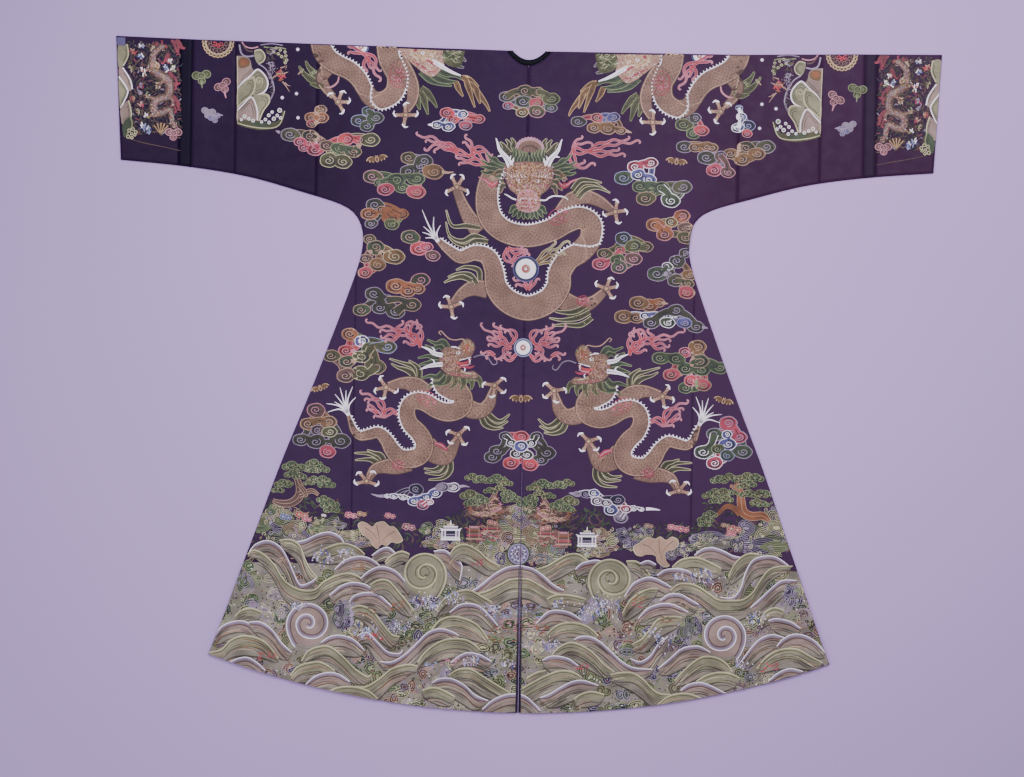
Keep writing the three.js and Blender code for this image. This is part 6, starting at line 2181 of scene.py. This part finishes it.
# Geometry Nodes set a small solid on each kept place: scales, spines and knots.
def repeatTree(kind):
    tree = bpy.data.node_groups.new("repeat_" + kind, "GeometryNodeTree")
    face = tree.interface
    face.new_socket("Geometry", in_out="INPUT", socket_type="NodeSocketGeometry")
    for name, value in (("Length", 6.0), ("Width", 4.0), ("Height", 0.5)):
        face.new_socket(name, in_out="INPUT", socket_type="NodeSocketFloat").default_value = value
    face.new_socket("Material", in_out="INPUT", socket_type="NodeSocketMaterial")
    face.new_socket("Geometry", in_out="OUTPUT", socket_type="NodeSocketGeometry")

    def node(kindName, settings=None, inputs=None):
        made = tree.nodes.new(kindName)
        for key, value in (settings or {}).items():
            setattr(made, key, value)
        for key, value in (inputs or {}).items():
            if isinstance(value, bpy.types.NodeSocket):
                tree.links.new(value, made.inputs[key])
            else:
                made.inputs[key].default_value = value
        return made

    given, out = node("NodeGroupInput"), node("NodeGroupOutput")
    length, width, height = (given.outputs[name] for name in ("Length", "Width", "Height"))
    half = node("ShaderNodeMath", {"operation": "MULTIPLY"}, {0: length, 1: 0.5}).outputs[0]
    if kind == "scales":
        arc = node("GeometryNodeCurveArc", {}, {"Resolution": 5, "Radius": half, "Start Angle": -1.25,
                                                "Sweep Angle": 2.5})
        rib = node("GeometryNodeCurveArc", {}, {"Resolution": 3, "Radius": node(
            "ShaderNodeMath", {"operation": "MULTIPLY"}, {0: width, 1: 0.5}).outputs[0],
            "Start Angle": 0.0, "Sweep Angle": math.pi})
        solid = node("GeometryNodeCurveToMesh", {}, {"Curve": arc.outputs["Curve"],
                                                     "Profile Curve": rib.outputs["Curve"]}).outputs[0]
        squash = 0.5
    elif kind == "spines":
        cone = node("GeometryNodeMeshCone", {}, {"Vertices": 5, "Radius Top": 0.0, "Radius Bottom": half,
                                                 "Depth": length})
        solid = node("GeometryNodeTransform", {}, {
            "Geometry": cone.outputs["Mesh"], "Rotation": (0, math.pi / 2, 0),
            "Scale": (0.12, 1, 1)}).outputs[0]
        squash = 1.0
    else:
        cone = node("GeometryNodeMeshCone", {}, {"Vertices": 6, "Radius Top": node(
            "ShaderNodeMath", {"operation": "MULTIPLY"}, {0: half, 1: 0.45}).outputs[0],
            "Radius Bottom": half, "Depth": height})
        solid, squash = cone.outputs["Mesh"], 1.0
    scaled = node("GeometryNodeTransform", {}, {"Geometry": solid, "Scale": (1, 1, squash)}).outputs[0]
    turn = node("GeometryNodeInputNamedAttribute", {"data_type": "FLOAT"},
                {"Name": "turn"}).outputs["Attribute"]
    size = node("GeometryNodeInputNamedAttribute", {"data_type": "FLOAT"},
                {"Name": "size"}).outputs["Attribute"]
    rotation = node("ShaderNodeCombineXYZ", {}, {"Z": turn}).outputs[0]
    spread = node("GeometryNodeInstanceOnPoints", {}, {
        "Points": given.outputs["Geometry"], "Instance": scaled, "Rotation": rotation, "Scale": size})
    real = node("GeometryNodeRealizeInstances", {}, {"Geometry": spread.outputs[0]})
    dyed = node("GeometryNodeSetMaterial", {}, {"Geometry": real.outputs[0],
                                                "Material": given.outputs["Material"]})
    tree.links.new(dyed.outputs[0], out.inputs["Geometry"])
    return tree


def repeatOn(name, kind, places, sizes, material):
    mesh = bpy.data.meshes.new(name)
    mesh.from_pydata([tuple(p) for p in places[:, :3]], [], [])
    for key, column in (("turn", 3), ("size", 4)):
        mesh.attributes.new(key, "FLOAT", "POINT").data.foreach_set("value",
            places[:, column].astype(np.float32))
    seeds = bpy.data.objects.new(name + "_places", mesh)
    bpy.context.scene.collection.objects.link(seeds)
    if kind not in trees:
        trees[kind] = repeatTree(kind)
    tree = trees[kind]
    modifier = seeds.modifiers.new("repeat", "NODES")
    modifier.node_group = tree
    for item in tree.interface.items_tree:
        if item.in_out == "INPUT" and item.name in sizes:
            modifier[item.identifier] = sizes[item.name] * mm
        elif item.in_out == "INPUT" and item.name == "Material":
            modifier[item.identifier] = material
    seen = seeds.evaluated_get(bpy.context.evaluated_depsgraph_get())
    made = bpy.data.meshes.new_from_object(seen)
    bpy.data.objects.remove(seeds)
    made.name = name
    piece = bpy.data.objects.new(name, made)
    bpy.context.scene.collection.objects.link(piece)
    if not made.materials:
        made.materials.append(material)
    return piece


trees = {}
floss = {name: threadFinish(name + "Floss", **settings) for name, settings in flossColours.items()}
stitched = []
for name, heap in stock.items():
    if not heap["count"]:
        continue
    piece = meshObject(name + "_floss", np.vstack(heap["points"]), np.vstack(heap["faces"]), [floss[name]],
                       smooth=False)
    stitched.append((piece, flossSlots[name]))
markSizes = {
    "scales": {"Length": 8.8, "Width": 2.0, "Height": 0.4}, "spines": {"Length": 5.2, "Width": 3.6,
        "Height": 0.8},
    "knots": {"Length": 2.6, "Width": 2.6, "Height": 0.7},
}
for (kind, name), entries in marks.items():
    entries = np.vstack(entries)
    inside = (insideEdges(entries[:, :2]) == entries[:, :2]).all(axis=1)
    entries = entries[inside & ~((entries[:, 1] > cut["ventTop"]) & (np.abs(entries[:, 0]) < 4))]
    z = lay(entries[:, 0], entries[:, 1]) + layering["clear"] + entries[:, 4] * layering["step"]
    spots = np.column_stack([place(entries[:, 0], entries[:, 1], z + 0.1), entries[:, 2], entries[:, 3]])
    piece = repeatOn(f"{name}_{kind}", kind, spots, markSizes[kind], floss[name])
    stitched.append((piece, flossSlots[name]))
for piece, slotName in stitched:
    if not piece.data.uv_layers:
        flatMap(piece)
    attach(piece, "root")
    piece.data.calc_loop_triangles()
print("floss laid:", sum(len(p.data.loop_triangles) for p, _ in stitched), "triangles,",
      {p.name: len(p.data.loop_triangles) for p, _ in stitched}, "levels", stack.max())


buildStudio()
print("finished")
